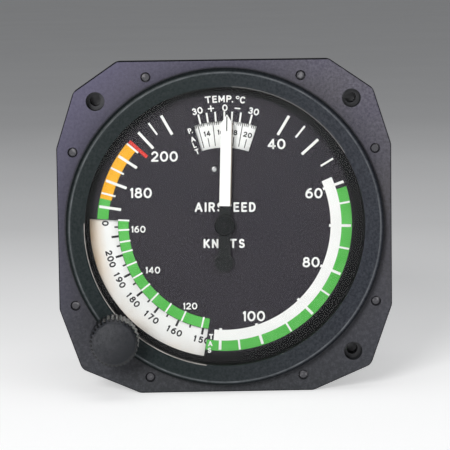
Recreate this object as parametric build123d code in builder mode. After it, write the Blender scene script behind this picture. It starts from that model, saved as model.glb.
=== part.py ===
from build123d import *
from math import cos, pi, radians, sin
import os

os.makedirs("parts", exist_ok=True)

# True airspeed indicator for a 3 1/8 inch panel cut-out, in millimetres.
# The dial faces -Y, X is to its right and Z is up. The origin is where the dial axis
# meets the flange's front face, the one that lies against the back of the panel.
# Depths are Y values and grow to the rear.

# Flange outline
flange_half = 41.2
flange_thickness = 3.2
side_flat_half = 20.0
top_flat_half = 26.0
bottom_flat_half = 21.5
top_corner_inset = 4.4
top_corner_drop = 7.4
bottom_corner_inset = 5.3
bottom_corner_rise = 6.2
flange_corner_round = 2.6
flange_edge_round = 0.5

# Raised ring round the dial
ring_margin = 2.0
ring_height = 3.0
ring_crest_width = 1.3
ring_crest_round = 0.8
ring_blank_allowance = 1.0
funnel_width = 3.3
lip_front_depth = -0.7
lip_rear_depth = 0.2
ring_outer_radius = flange_half - ring_margin
funnel_outer_radius = ring_outer_radius - ring_crest_width
lip_radius = funnel_outer_radius - funnel_width

# Fasteners of the flange
mount_margin = 9.765
mount_spacing = 2 * (flange_half - mount_margin)
mount_hole_radius = 2.25
mount_thread_radius = 1.39
insert_radius = 2.8
insert_collar_radius = 3.5
insert_collar_thickness = 1.0
insert_setback = 0.3
insert_end_thickness = 1.2
screw_margin = 4.0
screw_far = flange_half - screw_margin
screw_near = 19.0
flange_screw_radius = 1.2
flange_screw_setback = 0.7
flange_screw_chamfer = 0.35
flange_screw_head_radius = 1.95
flange_screw_head_height = 1.3
flange_screw_slot_width = 0.5
flange_screw_slot_depth = 0.65
thread_clearance = 0.05

# Glass and the spacer behind it
glass_overlap = 0.8
glass_radius = lip_radius + glass_overlap
glass_thickness = 1.5
glass_seat_clearance = 0.1
glass_gasket_thickness = 0.3
spacer_wall = 0.6

# Case
case_gap = 0.5
case_flange_thickness = 3.0
case_flange_inset = 0.3
case_margin = 1.8
case_taper = 0.6
case_radius = flange_half - case_margin
case_rear_radius = case_radius - case_taper
case_wall = 1.6
case_rear_depth = 54.0
rear_wall = 3.0
rear_edge_round = 3.0
gasket_width = 2.4
gasket_margin = 1.2
gasket_outer_radius = flange_half - gasket_margin

# Ports at the rear, drilled for 1/8-27 pipe thread
port_margin = 9.24
port_boss_radius = 7.5
port_boss_rise = 3.0
port_thread_radius = 4.35
port_thread_length = 7.5
port_inner_length = 3.5
static_passage_radius = 2.0

# Main dial and its windows; angles run clockwise from the top
dial_depth = 4.8
dial_thickness = 0.8
dial_overlap = 0.8
dial_radius = glass_radius + dial_overlap
dial_hole_radius = 1.6
tas_window_margin = 1.1
tas_window_width = 7.0
tas_window_outer = lip_radius - tas_window_margin
tas_window_inner = tas_window_outer - tas_window_width
tas_window_start = 189.6
tas_window_end = 273.4
altitude_window_width = 6.6
window_bridge = 0.7
altitude_window_outer = tas_window_inner - window_bridge
altitude_window_inner = altitude_window_outer - altitude_window_width
altitude_window_start = -16.5
altitude_window_end = 18.8
dial_screw_radius = 0.5
dial_screw_head_radius = 0.8
dial_screw_head_height = 0.45
dial_screw_head_round = 0.4
dial_screw_length = 2.6
upper_screw_x = -2.35
upper_screw_z = 13.95
lower_screw_x = -0.9
lower_screw_z = -9.2

# Turning scale behind the main dial, with its ring gear
scale_gap = 0.4
scale_thickness = 0.8
scale_margin = 2.0
scale_radius = dial_radius - scale_margin
scale_bearing_margin = 1.2
scale_bearing_radius = altitude_window_inner - scale_bearing_margin
running_clearance = 0.05
ring_teeth = 87
ring_gear_width = 4.2
ring_gear_bore_radius = scale_radius - ring_gear_width
ring_gear_thickness = 1.2
scale_turn_down = 15.0
scale_turn_up = 70.0
stop_pin_inset = 2.4
stop_pin_orbit = ring_gear_bore_radius - stop_pin_inset
stop_pin_radius = 0.7
stop_pin_angle = 180.0
stop_clearance = 0.35

# Carrier plate of the scale
carrier_margin = 1.7
carrier_radius = scale_radius - carrier_margin
carrier_thickness = 1.5
post_count = 3
post_orbit = 22.0
post_radius = 2.0
post_start_angle = 30.0

# Knob, its shaft and pinion
knob_teeth = 9
knob_inset = 0.8
knob_angle = 224.0
knob_radius = 6.05
knob_gap = 0.6
knob_length = 9.4
knob_serrations = 34
serration_depth = 0.38
knob_chamfer = 1.0
knob_face_radius = 4.95
knob_dome = 0.9
knob_shaft_radius = 1.2
knob_shaft_insertion = 6.5
knob_screw_radius = 0.8
knob_screw_length = 3.0
knob_screw_depth = 3.0
knob_screw_angles = (200, 290)
bush_radius = 2.0
bush_length = 4.6
knob_boss_radius = 4.0
seal_section_radius = 0.36
seal_washer_radius = 2.3
seal_washer_thickness = 0.4
clip_radius = 2.2
clip_thickness = 0.6
clip_gap = 0.3
pinion_thickness = 1.5
pocket_clearance = 0.7
pocket_wall = 1.6
pocket_floor_gap = 0.9
pivot_length = 1.8

# Mechanism frame
front_plate_depth = 13.0
rear_boss_length = 5.5
plate_thickness = 1.5
front_plate_margin = 8.4
rear_plate_margin = 7.9
front_plate_radius = case_radius - front_plate_margin
rear_plate_radius = case_radius - rear_plate_margin
plate_window_radius = 5.0
plate_window_places = [(14.0, -14.0), (12.0, 20.0)]
pillar_radius = 2.2
pillar_inset = 2.5
pillar_angles = (27.5, 114.5, 276.0)
pillar_screw_radius = 1.1
pillar_screw_head_radius = 2.0
pillar_screw_head_height = 1.1
pillar_screw_slot_width = 0.5
pillar_screw_slot_depth = 0.55
pillar_thread_depth = 4.0
case_boss_radius = 3.4

# Shape of the gear teeth, in modules and in shares of the tooth's width
tooth_addendum = 0.9
tooth_dedendum = 1.2
tooth_width_share = 0.84
wheel_root_share = 1.45
wheel_tip_share = 0.5
pinion_root_share = 0.9
pinion_tip_share = 0.45

# Pointer, its staff and the gears that drive it
pointer_angle = 1.9
pointer_depth = 3.2
pointer_thickness = 0.4
pointer_half_width = 1.45
pointer_length = 27.6
pointer_tip_length = 2.2
pointer_hub_radius = 2.55
pointer_neck_half_width = 1.4
counterweight_radius = 2.35
counterweight_distance = 9.3
hub_flange_thickness = 0.5
hub_boss_radius = 1.15
hub_boss_length = 1.2
staff_rise = 0.2
staff_radius = 0.6
staff_teeth = 12
staff_pinion_thickness = 1.6
staff_passage_radius = 3.0
bearing_radius = 1.6
bearing_clearance = 0.04
sector_teeth = 102
sector_lower_teeth = 13
sector_upper_teeth = 2
sector_thickness = 1.0
sector_hub_radius = 2.6
sector_rim = 2.2
sector_arm_angle = 8.0
sector_tail_length = 7.0
sector_tail_radius = 3.0
sector_gap = 0.8
pointer_sweep = 331.5
rocking_inset = 8.2
rocking_shaft_radius = 0.8
rocking_bearing_radius = 2.0
weight_thickness = 2.0

# Pressure capsule; it stands below the lever and pushes it up
capsule_front_gap = 3.0
capsule_rear_gap = 1.5
capsule_rim_z = -11.0
capsule_half_height = 3.0
capsule_sheet = 0.35
capsule_rim_height = 0.3
capsule_ridges = 4
capsule_ridge_height = 0.55
capsule_boss_radius = 2.4
capsule_stud_radius = 1.6
capsule_rim_width = 0.9
capsule_nut_radius = 2.6
capsule_nut_thickness = 1.0
lever_arm = 5.0
lever_pin_radius = 0.5
lever_thickness = 1.0
lever_half_width = 0.9
lever_hub_radius = 2.0
lever_pin_gap = 0.3
fork_thickness = 1.6
fork_half_width = 2.4
fork_top_rise = 2.1
bracket_thickness = 1.2
bracket_half_width = 5.0
bracket_reach = 3.5
bracket_shelf_z = -18.4
bracket_tab_top_z = -15.0
bracket_screw_radius = 0.7
bracket_screw_head_radius = 1.3
bracket_screw_head_height = 0.7
tube_radius = 1.0
tube_bore_radius = 0.6
tube_bend_radius = 1.3
tube_insertion = 1.0
tube_plate_gap = 0.6

# Hairspring
hairspring_setoff = 7.5
hairspring_width = 1.0
hairspring_sheet = 0.16
hairspring_inner_radius = 1.65
hairspring_outer_radius = 5.4
hairspring_turns = 4
hairspring_steps = 14
collet_radius = 1.5
collet_length = 2.0
stud_radius = 0.6

# Places that follow from the sizes above
quarter_turn = 90.0
ring_blank_radius = lip_radius - ring_blank_allowance
case_front_depth = flange_thickness + case_gap
case_flange_rear_depth = case_front_depth + case_flange_thickness
case_bore_radius = case_radius - case_wall
rear_wall_depth = case_rear_depth - rear_wall
rear_plate_depth = rear_wall_depth - rear_boss_length - plate_thickness
hairspring_depth = rear_plate_depth - hairspring_setoff
glass_depth = lip_rear_depth + glass_gasket_thickness
glass_rear_depth = glass_depth + glass_thickness
glass_seat_radius = glass_radius + glass_seat_clearance
dial_rear_depth = dial_depth + dial_thickness
scale_depth = dial_rear_depth + scale_gap
ring_gear_depth = scale_depth + scale_thickness
ring_gear_rear_depth = ring_gear_depth + ring_gear_thickness
carrier_depth = ring_gear_rear_depth + scale_gap
carrier_rear_depth = carrier_depth + carrier_thickness
knob_orbit = ring_outer_radius - knob_inset
knob_x = knob_orbit * cos(radians(knob_angle))
knob_z = knob_orbit * sin(radians(knob_angle))
gear_module = 2 * knob_orbit / (ring_teeth + knob_teeth)
knob_rear_depth = -ring_height - knob_gap
knob_pinion_radius = gear_module * (knob_teeth / 2 + 1)
pocket_radius = knob_pinion_radius + pocket_clearance
pinion_depth = ring_gear_depth
pocket_floor_depth = pinion_depth + pinion_thickness + pocket_floor_gap
pocket_rear_depth = pocket_floor_depth + pivot_length + pocket_wall
rocking_distance = front_plate_radius - rocking_inset
staff_module = 2 * rocking_distance / (sector_teeth + staff_teeth)
pillar_orbit = front_plate_radius - pillar_inset
pillar_places = [
    (pillar_orbit * cos(radians(angle)), pillar_orbit * sin(radians(angle))) for angle in pillar_angles
]
sector_depth = front_plate_depth + plate_thickness + sector_gap
sector_swing = pointer_sweep * staff_teeth / sector_teeth
front_plate_rear_depth = front_plate_depth + plate_thickness
capsule_space = rear_plate_depth - front_plate_rear_depth
capsule_radius = (capsule_space - capsule_front_gap - capsule_rear_gap) / 2
capsule_depth = rear_plate_depth - capsule_rear_gap - capsule_radius
rear_plate_rear_depth = rear_plate_depth + plate_thickness
capsule_x = -rocking_distance + lever_arm
rest_pin_x = -rocking_distance + lever_arm * cos(radians(sector_swing / 2))
rest_pin_z = -lever_arm * sin(radians(sector_swing / 2))
fork_depth = capsule_depth - fork_thickness / 2
lever_depth = fork_depth - lever_pin_gap - lever_thickness
port_orbit = case_rear_radius - port_margin
port_x = -capsule_x
port_z = -((port_orbit**2 - port_x**2) ** 0.5)
port_rear_depth = case_rear_depth + port_boss_rise
port_inner_depth = rear_wall_depth - port_inner_length
spacer_inner_radius = glass_radius - spacer_wall
knob_front_depth = knob_rear_depth - knob_length
knob_shaft_front_depth = knob_rear_depth - knob_shaft_insertion
knob_dome_radius = (knob_face_radius**2 + knob_dome**2) / (2 * knob_dome)
knob_axis = Axis((knob_x, 0, knob_z), (0, 1, 0))
capsule_plane = Plane(origin=(capsule_x, capsule_depth, 0), x_dir=(1, 0, 0), z_dir=(0, -1, 0))
capsule_axis = Axis((capsule_x, capsule_depth, 0), (0, 0, 1))
corrugated_width = capsule_radius - capsule_rim_width - capsule_boss_radius - capsule_rim_width
capsule_cone_height = capsule_half_height - capsule_rim_height - capsule_sheet - capsule_ridge_height
bracket_front_depth = capsule_depth - bracket_reach
hairspring_growth = hairspring_outer_radius - hairspring_inner_radius
bracket_screw_z = (bracket_tab_top_z + bracket_shelf_z) / 2
bracket_screw_places = [(capsule_x + side * bracket_half_width / 2, bracket_screw_z) for side in (-1, 1)]

mount_places = [(sx * mount_spacing / 2, sz * mount_spacing / 2) for sx, sz in [(-1, 1), (1, 1), (1, -1)]]
screw_places = [
    (sx * x, sz * z)
    for x, z in [(screw_near, screw_far), (screw_far, screw_near)]
    for sx in (-1, 1)
    for sz in (-1, 1)
]
screw_rings = [(upper_screw_x, upper_screw_z), (lower_screw_x, lower_screw_z)]


def across(depth):
    """The plane square to the dial axis at this depth, drawn as seen from the front."""
    return Plane.XZ.offset(-depth)


def across_at(x, depth, z, turn=0.0):
    """The same plane with its origin at x, z and turned clockwise by turn degrees."""
    angle = radians(turn)
    return Plane(origin=(x, depth, z), x_dir=(cos(angle), 0, -sin(angle)), z_dir=(0, -1, 0))


def outline_of_flange(inset):
    """The flange's outline: flats joined by cropped corners, each corner a little round."""
    right_side = [
        (bottom_flat_half, -flange_half),
        (flange_half - bottom_corner_inset, bottom_corner_rise - flange_half),
        (flange_half, -side_flat_half),
        (flange_half, side_flat_half),
        (flange_half - top_corner_inset, flange_half - top_corner_drop),
        (top_flat_half, flange_half),
    ]
    left_side = [(-x, z) for x, z in reversed(right_side)]
    with BuildSketch() as outline:
        with BuildLine():
            Polyline(*right_side, *left_side, close=True)
        make_face()
        fillet(outline.vertices(), radius=flange_corner_round)
        if inset > 0:
            offset(amount=-inset, mode=Mode.REPLACE)
    return outline.sketch


def dial_sector(inner, outer, start, end):
    """An annular sector; its angles run clockwise from the top."""
    with BuildSketch() as sector:
        with BuildLine():
            low = CenterArc((0, 0), inner, quarter_turn - end, end - start)
            high = CenterArc((0, 0), outer, quarter_turn - end, end - start)
            Line(low @ 0, high @ 0)
            Line(low @ 1, high @ 1)
        make_face()
    return sector.sketch


def tooth_points(teeth, module, first, last, turn, root_share, tip_share):
    """Corners of the teeth from first to last, anticlockwise; turn places tooth 0."""
    pitch_radius = module * teeth / 2
    tip_radius = pitch_radius + tooth_addendum * module
    root_radius = pitch_radius - tooth_dedendum * module
    half_tooth = quarter_turn / teeth * tooth_width_share
    points = []
    for tooth in range(first, last + 1):
        middle = turn + tooth * 360 / teeth
        for radius, share in [
            (root_radius, -root_share),
            (pitch_radius, -1),
            (tip_radius, -tip_share),
            (tip_radius, tip_share),
            (pitch_radius, 1),
            (root_radius, root_share),
        ]:
            angle = radians(middle + share * half_tooth)
            points.append((radius * cos(angle), radius * sin(angle)))
    return points


def gear_face(teeth, module, turn, root_share, tip_share):
    """A whole gear's outline as a face."""
    with BuildSketch() as gear:
        with BuildLine():
            Polyline(*tooth_points(teeth, module, 0, teeth - 1, turn, root_share, tip_share), close=True)
        make_face()
    return gear.sketch


def serration_points():
    """The knob's outline, a ring of V-shaped serrations round its own centre."""
    points = []
    for step in range(2 * knob_serrations):
        radius = knob_radius - serration_depth * (step % 2)
        angle = pi * step / knob_serrations
        points.append((radius * cos(angle), radius * sin(angle)))
    return points


def radial_plane(angle):
    """The plane on the knob shaft's surface that faces outward at this angle."""
    outward = Vector(cos(radians(angle)), 0, sin(radians(angle)))
    foot = Vector(knob_x, knob_rear_depth - knob_screw_depth, knob_z) + outward * knob_shaft_radius
    return Plane(origin=foot, x_dir=(0, 1, 0), z_dir=outward)


def sheet_points(side):
    """Half the section of a corrugated capsule sheet; side is 1 for the upper and -1 for the lower."""
    outer_points = []
    for step in range(2 * capsule_ridges + 1):
        share = step / (2 * capsule_ridges)
        radius = capsule_radius - capsule_rim_width - share * corrugated_width
        height = capsule_rim_height + capsule_sheet + share * capsule_cone_height
        if step % 2:
            height += capsule_ridge_height
        outer_points.append((radius, height))
    outline = [(capsule_radius, 0), (capsule_radius, capsule_sheet), *outer_points]
    outline += [(capsule_boss_radius, capsule_half_height), (0, capsule_half_height)]
    inner = [(x, height - capsule_sheet) for x, height in reversed(outline[2:])]
    return [(x, capsule_rim_z + side * height) for x, height in outline + inner]


def spiral_points(offset):
    """Points along the hairspring from the collet outward, moved by offset across the strip."""
    points = []
    for step in range(hairspring_turns * hairspring_steps + 1):
        share = step / (hairspring_turns * hairspring_steps)
        angle = 2 * pi * hairspring_turns * share
        radius = hairspring_inner_radius + share * hairspring_growth + offset
        points.append((radius * cos(angle), radius * sin(angle)))
    return points


# Bezel: the flange with its raised ring
with BuildPart() as bezel:
    with BuildSketch(across(0)):
        add(outline_of_flange(0))
    extrude(amount=-flange_thickness)
    front_edges = bezel.faces().sort_by(Axis.Y)[0].edges()
    fillet(front_edges, radius=flange_edge_round)
    with BuildSketch(Plane.XY):
        with BuildLine():
            Polyline(
                (ring_blank_radius, lip_rear_depth),
                (ring_outer_radius, lip_rear_depth),
                (ring_outer_radius, -ring_height + ring_crest_round),
            )
            RadiusArc(
                (ring_outer_radius, -ring_height + ring_crest_round),
                (ring_outer_radius - ring_crest_round, -ring_height),
                ring_crest_round,
            )
            Polyline(
                (ring_outer_radius - ring_crest_round, -ring_height),
                (ring_blank_radius, -ring_height),
                (ring_blank_radius, lip_rear_depth),
            )
        make_face()
    revolve(axis=Axis.Y)
    with BuildSketch(across(-ring_height)):
        with Locations((knob_x, knob_z)):
            Circle(knob_boss_radius)
    extrude(amount=-ring_height)
    with BuildSketch(Plane.XY):
        with BuildLine():
            Polyline(
                (0, -ring_height),
                (funnel_outer_radius, -ring_height),
                (lip_radius, lip_front_depth),
                (lip_radius, lip_rear_depth),
                (glass_seat_radius, lip_rear_depth),
                (glass_seat_radius, flange_thickness),
                (0, flange_thickness),
                close=True,
            )
        make_face()
    revolve(axis=Axis.Y, mode=Mode.SUBTRACT)
    with BuildSketch(across(0)):
        with Locations(*mount_places):
            Circle(mount_hole_radius)
        with Locations(*screw_places):
            Circle(flange_screw_radius + thread_clearance)
    extrude(amount=-flange_thickness, mode=Mode.SUBTRACT)
    with BuildSketch(across(-ring_height)):
        with Locations((knob_x, knob_z)):
            Circle(bush_radius)
    extrude(amount=-ring_height - flange_thickness, mode=Mode.SUBTRACT)
bezel.part.label = "bezel"
export_step(bezel.part, "parts/bezel.step")

# Flange screws: driven in from behind, their tips end just inside the bezel's front face
with BuildPart() as bezel_screws:
    with BuildSketch(across(flange_screw_setback)):
        with Locations(*screw_places):
            Circle(flange_screw_radius)
    extrude(amount=flange_screw_setback - case_flange_rear_depth)
    chamfer(bezel_screws.faces().group_by(Axis.Y)[0].edges(), length=flange_screw_chamfer)
    with BuildSketch(across(case_flange_rear_depth)):
        with Locations(*screw_places):
            Circle(flange_screw_head_radius)
    extrude(amount=-flange_screw_head_height)
    with BuildSketch(across(case_flange_rear_depth + flange_screw_head_height)):
        with Locations(*screw_places):
            Rectangle(2 * flange_screw_head_radius, flange_screw_slot_width)
    extrude(amount=flange_screw_slot_depth, mode=Mode.SUBTRACT)
bezel_screws.part.label = "bezel_screws"
export_step(bezel_screws.part, "parts/bezel_screws.step")

# Blind captive nuts for the three mounting screws, pressed into the case flange from behind
with BuildPart() as mounting_inserts:
    with BuildSketch(across(case_front_depth + insert_setback)):
        with Locations(*mount_places):
            Circle(insert_radius)
    extrude(amount=insert_setback - case_flange_thickness)
    with BuildSketch(across(case_flange_rear_depth)):
        with Locations(*mount_places):
            Circle(insert_collar_radius)
    extrude(amount=-insert_collar_thickness)
    with BuildSketch(across(case_front_depth)):
        with Locations(*mount_places):
            Circle(mount_thread_radius)
    extrude(amount=-case_flange_thickness - insert_collar_thickness, mode=Mode.SUBTRACT)
    with BuildSketch(across(case_flange_rear_depth + insert_collar_thickness)):
        with Locations(*mount_places):
            Circle(insert_radius)
    extrude(amount=-insert_end_thickness)
mounting_inserts.part.label = "mounting_inserts"
export_step(mounting_inserts.part, "parts/mounting_inserts.step")

# Case gasket: a flat ring that widens round the knob shaft
with BuildPart() as case_gasket:
    with BuildSketch(across(flange_thickness)):
        Circle(gasket_outer_radius)
        with Locations((knob_x, knob_z)):
            Circle(pocket_radius + gasket_width)
        Circle(gasket_outer_radius - gasket_width, mode=Mode.SUBTRACT)
        with Locations((knob_x, knob_z)):
            Circle(pocket_radius, mode=Mode.SUBTRACT)
    extrude(amount=-case_gap)
case_gasket.part.label = "case_gasket"
export_step(case_gasket.part, "parts/case_gasket.step")

# Case: a tapered can with a flange, a pocket for the knob's pinion and two port bosses
with BuildPart() as case_housing:
    with BuildSketch(across(case_front_depth)):
        add(outline_of_flange(case_flange_inset))
    extrude(amount=-case_flange_thickness)
    with BuildSketch(Plane.XY):
        with BuildLine():
            Polyline(
                (0, case_front_depth),
                (case_radius, case_front_depth),
                (case_rear_radius, case_rear_depth),
                (0, case_rear_depth),
                close=True,
            )
        make_face()
    revolve(axis=Axis.Y)
    fillet(case_housing.faces().sort_by(Axis.Y)[-1].edges(), radius=rear_edge_round)
    with BuildSketch(across(case_front_depth)):
        with Locations((knob_x, knob_z)):
            Circle(pocket_radius + pocket_wall)
    extrude(amount=case_front_depth - pocket_rear_depth)
    with BuildSketch(across(rear_wall_depth)):
        with Locations((port_x, port_z), (-port_x, port_z)):
            Circle(port_boss_radius)
    extrude(amount=rear_wall_depth - port_rear_depth)
    with BuildSketch(Plane.XY):
        with BuildLine():
            Polyline(
                (0, case_front_depth),
                (case_bore_radius, case_front_depth),
                (case_rear_radius - case_wall, rear_wall_depth),
                (0, rear_wall_depth),
                close=True,
            )
        make_face()
    revolve(axis=Axis.Y, mode=Mode.SUBTRACT)
    with BuildSketch(across(case_front_depth)):
        with Locations((knob_x, knob_z)):
            Circle(pocket_radius)
    extrude(amount=case_front_depth - pocket_floor_depth, mode=Mode.SUBTRACT)
    with BuildSketch(across(pocket_floor_depth)):
        with Locations((knob_x, knob_z)):
            Circle(knob_shaft_radius + running_clearance)
    extrude(amount=-pivot_length, mode=Mode.SUBTRACT)
    with BuildSketch(across(port_inner_depth)):
        with Locations((port_x, port_z), (-port_x, port_z)):
            Circle(port_boss_radius)
    extrude(amount=port_inner_depth - rear_wall_depth)
    with BuildSketch(across(rear_plate_rear_depth)):
        with Locations(*pillar_places):
            Circle(case_boss_radius)
    extrude(amount=rear_plate_rear_depth - rear_wall_depth)
    with BuildSketch(across(port_rear_depth)):
        with Locations((port_x, port_z), (-port_x, port_z)):
            Circle(port_thread_radius)
    extrude(amount=port_thread_length, mode=Mode.SUBTRACT)
    with BuildSketch(across(port_inner_depth)):
        with Locations((port_x, port_z)):
            Circle(static_passage_radius)
        with Locations((-port_x, port_z)):
            Circle(tube_radius + thread_clearance)
    extrude(amount=port_inner_depth - port_rear_depth + port_thread_length, mode=Mode.SUBTRACT)
    with BuildSketch(across(rear_plate_rear_depth)):
        with Locations(*pillar_places):
            Circle(pillar_screw_radius + thread_clearance)
    extrude(amount=rear_plate_rear_depth - case_rear_depth, mode=Mode.SUBTRACT)
    with BuildSketch(across(case_rear_depth)):
        with Locations(*pillar_places):
            Circle(pillar_screw_head_radius + thread_clearance)
    extrude(amount=pillar_screw_head_height, mode=Mode.SUBTRACT)
    with BuildSketch(across(case_front_depth)):
        with Locations(*mount_places):
            Circle(insert_radius)
        with Locations(*screw_places):
            Circle(flange_screw_radius + thread_clearance)
    extrude(amount=-case_flange_thickness, mode=Mode.SUBTRACT)
case_housing.part.label = "case_housing"
export_step(case_housing.part, "parts/case_housing.step")

# Cover glass with its gasket in front and the spacer that holds it from behind
with BuildPart() as glass_gasket:
    with BuildSketch(across(lip_rear_depth)):
        Circle(glass_radius)
        Circle(lip_radius, mode=Mode.SUBTRACT)
    extrude(amount=-glass_gasket_thickness)
glass_gasket.part.label = "glass_gasket"
export_step(glass_gasket.part, "parts/glass_gasket.step")

with BuildPart() as cover_glass:
    with BuildSketch(across(glass_depth)):
        Circle(glass_radius)
    extrude(amount=-glass_thickness)
cover_glass.part.label = "cover_glass"
export_step(cover_glass.part, "parts/cover_glass.step")

with BuildPart() as glass_spacer:
    with BuildSketch(across(glass_rear_depth)):
        Circle(glass_radius)
        Circle(spacer_inner_radius, mode=Mode.SUBTRACT)
    extrude(amount=glass_rear_depth - dial_depth)
glass_spacer.part.label = "glass_spacer"
export_step(glass_spacer.part, "parts/glass_spacer.step")

# Main dial with its two windows
with BuildPart() as main_dial:
    with BuildSketch(across(dial_depth)):
        Circle(dial_radius)
        Circle(dial_hole_radius, mode=Mode.SUBTRACT)
        add(
            dial_sector(tas_window_inner, tas_window_outer, tas_window_start, tas_window_end),
            mode=Mode.SUBTRACT,
        )
        add(
            dial_sector(
                altitude_window_inner, altitude_window_outer, altitude_window_start, altitude_window_end
            ),
            mode=Mode.SUBTRACT,
        )
        with Locations(*screw_rings):
            Circle(dial_screw_radius + thread_clearance, mode=Mode.SUBTRACT)
    extrude(amount=-dial_thickness)
main_dial.part.label = "main_dial"
export_step(main_dial.part, "parts/main_dial.step")

with BuildPart() as dial_screws:
    with BuildSketch(across(dial_depth)):
        with Locations(*screw_rings):
            Circle(dial_screw_radius)
    extrude(amount=-dial_screw_length)
    with BuildSketch(across(dial_depth)):
        with Locations(*screw_rings):
            Circle(dial_screw_head_radius)
    extrude(amount=dial_screw_head_height)
    fillet(dial_screws.faces().group_by(Axis.Y)[0].edges(), radius=dial_screw_head_round)
dial_screws.part.label = "dial_screws"
export_step(dial_screws.part, "parts/dial_screws.step")

# Turning scale: a printed ring that shows through both windows
with BuildPart() as tas_scale:
    with BuildSketch(across(scale_depth)):
        Circle(scale_radius)
        Circle(scale_bearing_radius + running_clearance, mode=Mode.SUBTRACT)
    extrude(amount=-scale_thickness)
tas_scale.part.label = "tas_scale"
export_step(tas_scale.part, "parts/tas_scale.step")

# Ring gear behind the scale; one tooth points at the knob's axis
with BuildPart() as tas_ring_gear:
    with BuildSketch(across(ring_gear_depth)):
        add(gear_face(ring_teeth, gear_module, knob_angle, wheel_root_share, wheel_tip_share))
        Circle(ring_gear_bore_radius, mode=Mode.SUBTRACT)
    extrude(amount=-ring_gear_thickness)
tas_ring_gear.part.label = "tas_ring_gear"
export_step(tas_ring_gear.part, "parts/tas_ring_gear.step")

# Stop pin of the scale; it runs in the carrier's curved slot
stop_angle = radians(quarter_turn - stop_pin_angle)
with BuildPart() as tas_stop_pin:
    with BuildSketch(across(ring_gear_depth)):
        with Locations((stop_pin_orbit * cos(stop_angle), stop_pin_orbit * sin(stop_angle))):
            Circle(stop_pin_radius)
    extrude(amount=ring_gear_depth - carrier_rear_depth)
tas_stop_pin.part.label = "tas_stop_pin"
export_step(tas_stop_pin.part, "parts/tas_stop_pin.step")

# Carrier: the boss that the scale turns on, with a plate behind it
stop_end = (stop_pin_radius + stop_clearance) / stop_pin_orbit * 180 / pi
with BuildPart() as scale_carrier:
    with BuildSketch(across(dial_rear_depth)):
        Circle(scale_bearing_radius)
    extrude(amount=dial_rear_depth - carrier_rear_depth)
    with BuildSketch(across(carrier_depth)):
        Circle(carrier_radius)
    extrude(amount=-carrier_thickness)
    with BuildSketch(across(dial_rear_depth)):
        Circle(staff_passage_radius)
    extrude(amount=dial_rear_depth - carrier_rear_depth, mode=Mode.SUBTRACT)
    with BuildSketch(across(carrier_depth)):
        add(
            dial_sector(
                stop_pin_orbit - stop_pin_radius - stop_clearance,
                stop_pin_orbit + stop_pin_radius + stop_clearance,
                stop_pin_angle - scale_turn_down - stop_end,
                stop_pin_angle + scale_turn_up + stop_end,
            )
        )
    extrude(amount=-carrier_thickness, mode=Mode.SUBTRACT)
    with BuildSketch(across(dial_rear_depth)):
        with Locations(*screw_rings):
            Circle(dial_screw_radius + thread_clearance)
    extrude(amount=dial_thickness - dial_screw_length, mode=Mode.SUBTRACT)
scale_carrier.part.label = "scale_carrier"
export_step(scale_carrier.part, "parts/scale_carrier.step")

with BuildPart() as carrier_posts:
    with BuildSketch(across(carrier_rear_depth)):
        with PolarLocations(post_orbit, post_count, start_angle=post_start_angle):
            Circle(post_radius)
    extrude(amount=carrier_rear_depth - front_plate_depth)
carrier_posts.part.label = "carrier_posts"
export_step(carrier_posts.part, "parts/carrier_posts.step")

# Knob: serrated all round, with a chamfered and slightly domed face
with BuildPart() as knob:
    with BuildSketch(Plane(origin=(knob_x, 0, knob_z), x_dir=(1, 0, 0), z_dir=(0, 0, 1))):
        with BuildLine():
            Polyline(
                (0, knob_front_depth),
                (0, knob_rear_depth),
                (knob_radius, knob_rear_depth),
                (knob_radius, knob_front_depth + knob_dome + knob_chamfer),
                (knob_face_radius, knob_front_depth + knob_dome),
            )
            RadiusArc(
                (knob_face_radius, knob_front_depth + knob_dome), (0, knob_front_depth), knob_dome_radius
            )
        make_face()
    revolve(axis=knob_axis)
    with BuildSketch(across_at(knob_x, knob_rear_depth + knob_dome, knob_z)):
        with BuildLine():
            Polyline(*serration_points(), close=True)
        make_face()
    extrude(amount=knob_length + 2 * knob_dome, mode=Mode.INTERSECT)
    with BuildSketch(across_at(knob_x, knob_rear_depth, knob_z)):
        Circle(knob_shaft_radius)
    extrude(amount=knob_shaft_insertion, mode=Mode.SUBTRACT)
    for angle in knob_screw_angles:
        with BuildSketch(radial_plane(angle)):
            Circle(knob_screw_radius)
        extrude(amount=knob_radius, mode=Mode.SUBTRACT)
knob.part.label = "knob"
export_step(knob.part, "parts/knob.step")

with BuildPart() as knob_screws:
    for angle in knob_screw_angles:
        with BuildSketch(radial_plane(angle)):
            Circle(knob_screw_radius)
        extrude(amount=knob_screw_length)
knob_screws.part.label = "knob_screws"
export_step(knob_screws.part, "parts/knob_screws.step")

with BuildPart() as knob_shaft:
    with BuildSketch(across_at(knob_x, knob_shaft_front_depth, knob_z)):
        Circle(knob_shaft_radius)
    extrude(amount=knob_shaft_front_depth - pocket_floor_depth - pivot_length + clip_gap)
knob_shaft.part.label = "knob_shaft"
export_step(knob_shaft.part, "parts/knob_shaft.step")

# Bush, seal and washer that lead the knob shaft through the bezel
with BuildPart() as knob_bush:
    with BuildSketch(across_at(knob_x, -ring_height, knob_z)):
        Circle(bush_radius)
        Circle(knob_shaft_radius + running_clearance, mode=Mode.SUBTRACT)
    extrude(amount=-bush_length)
knob_bush.part.label = "knob_bush"
export_step(knob_bush.part, "parts/knob_bush.step")

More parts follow.
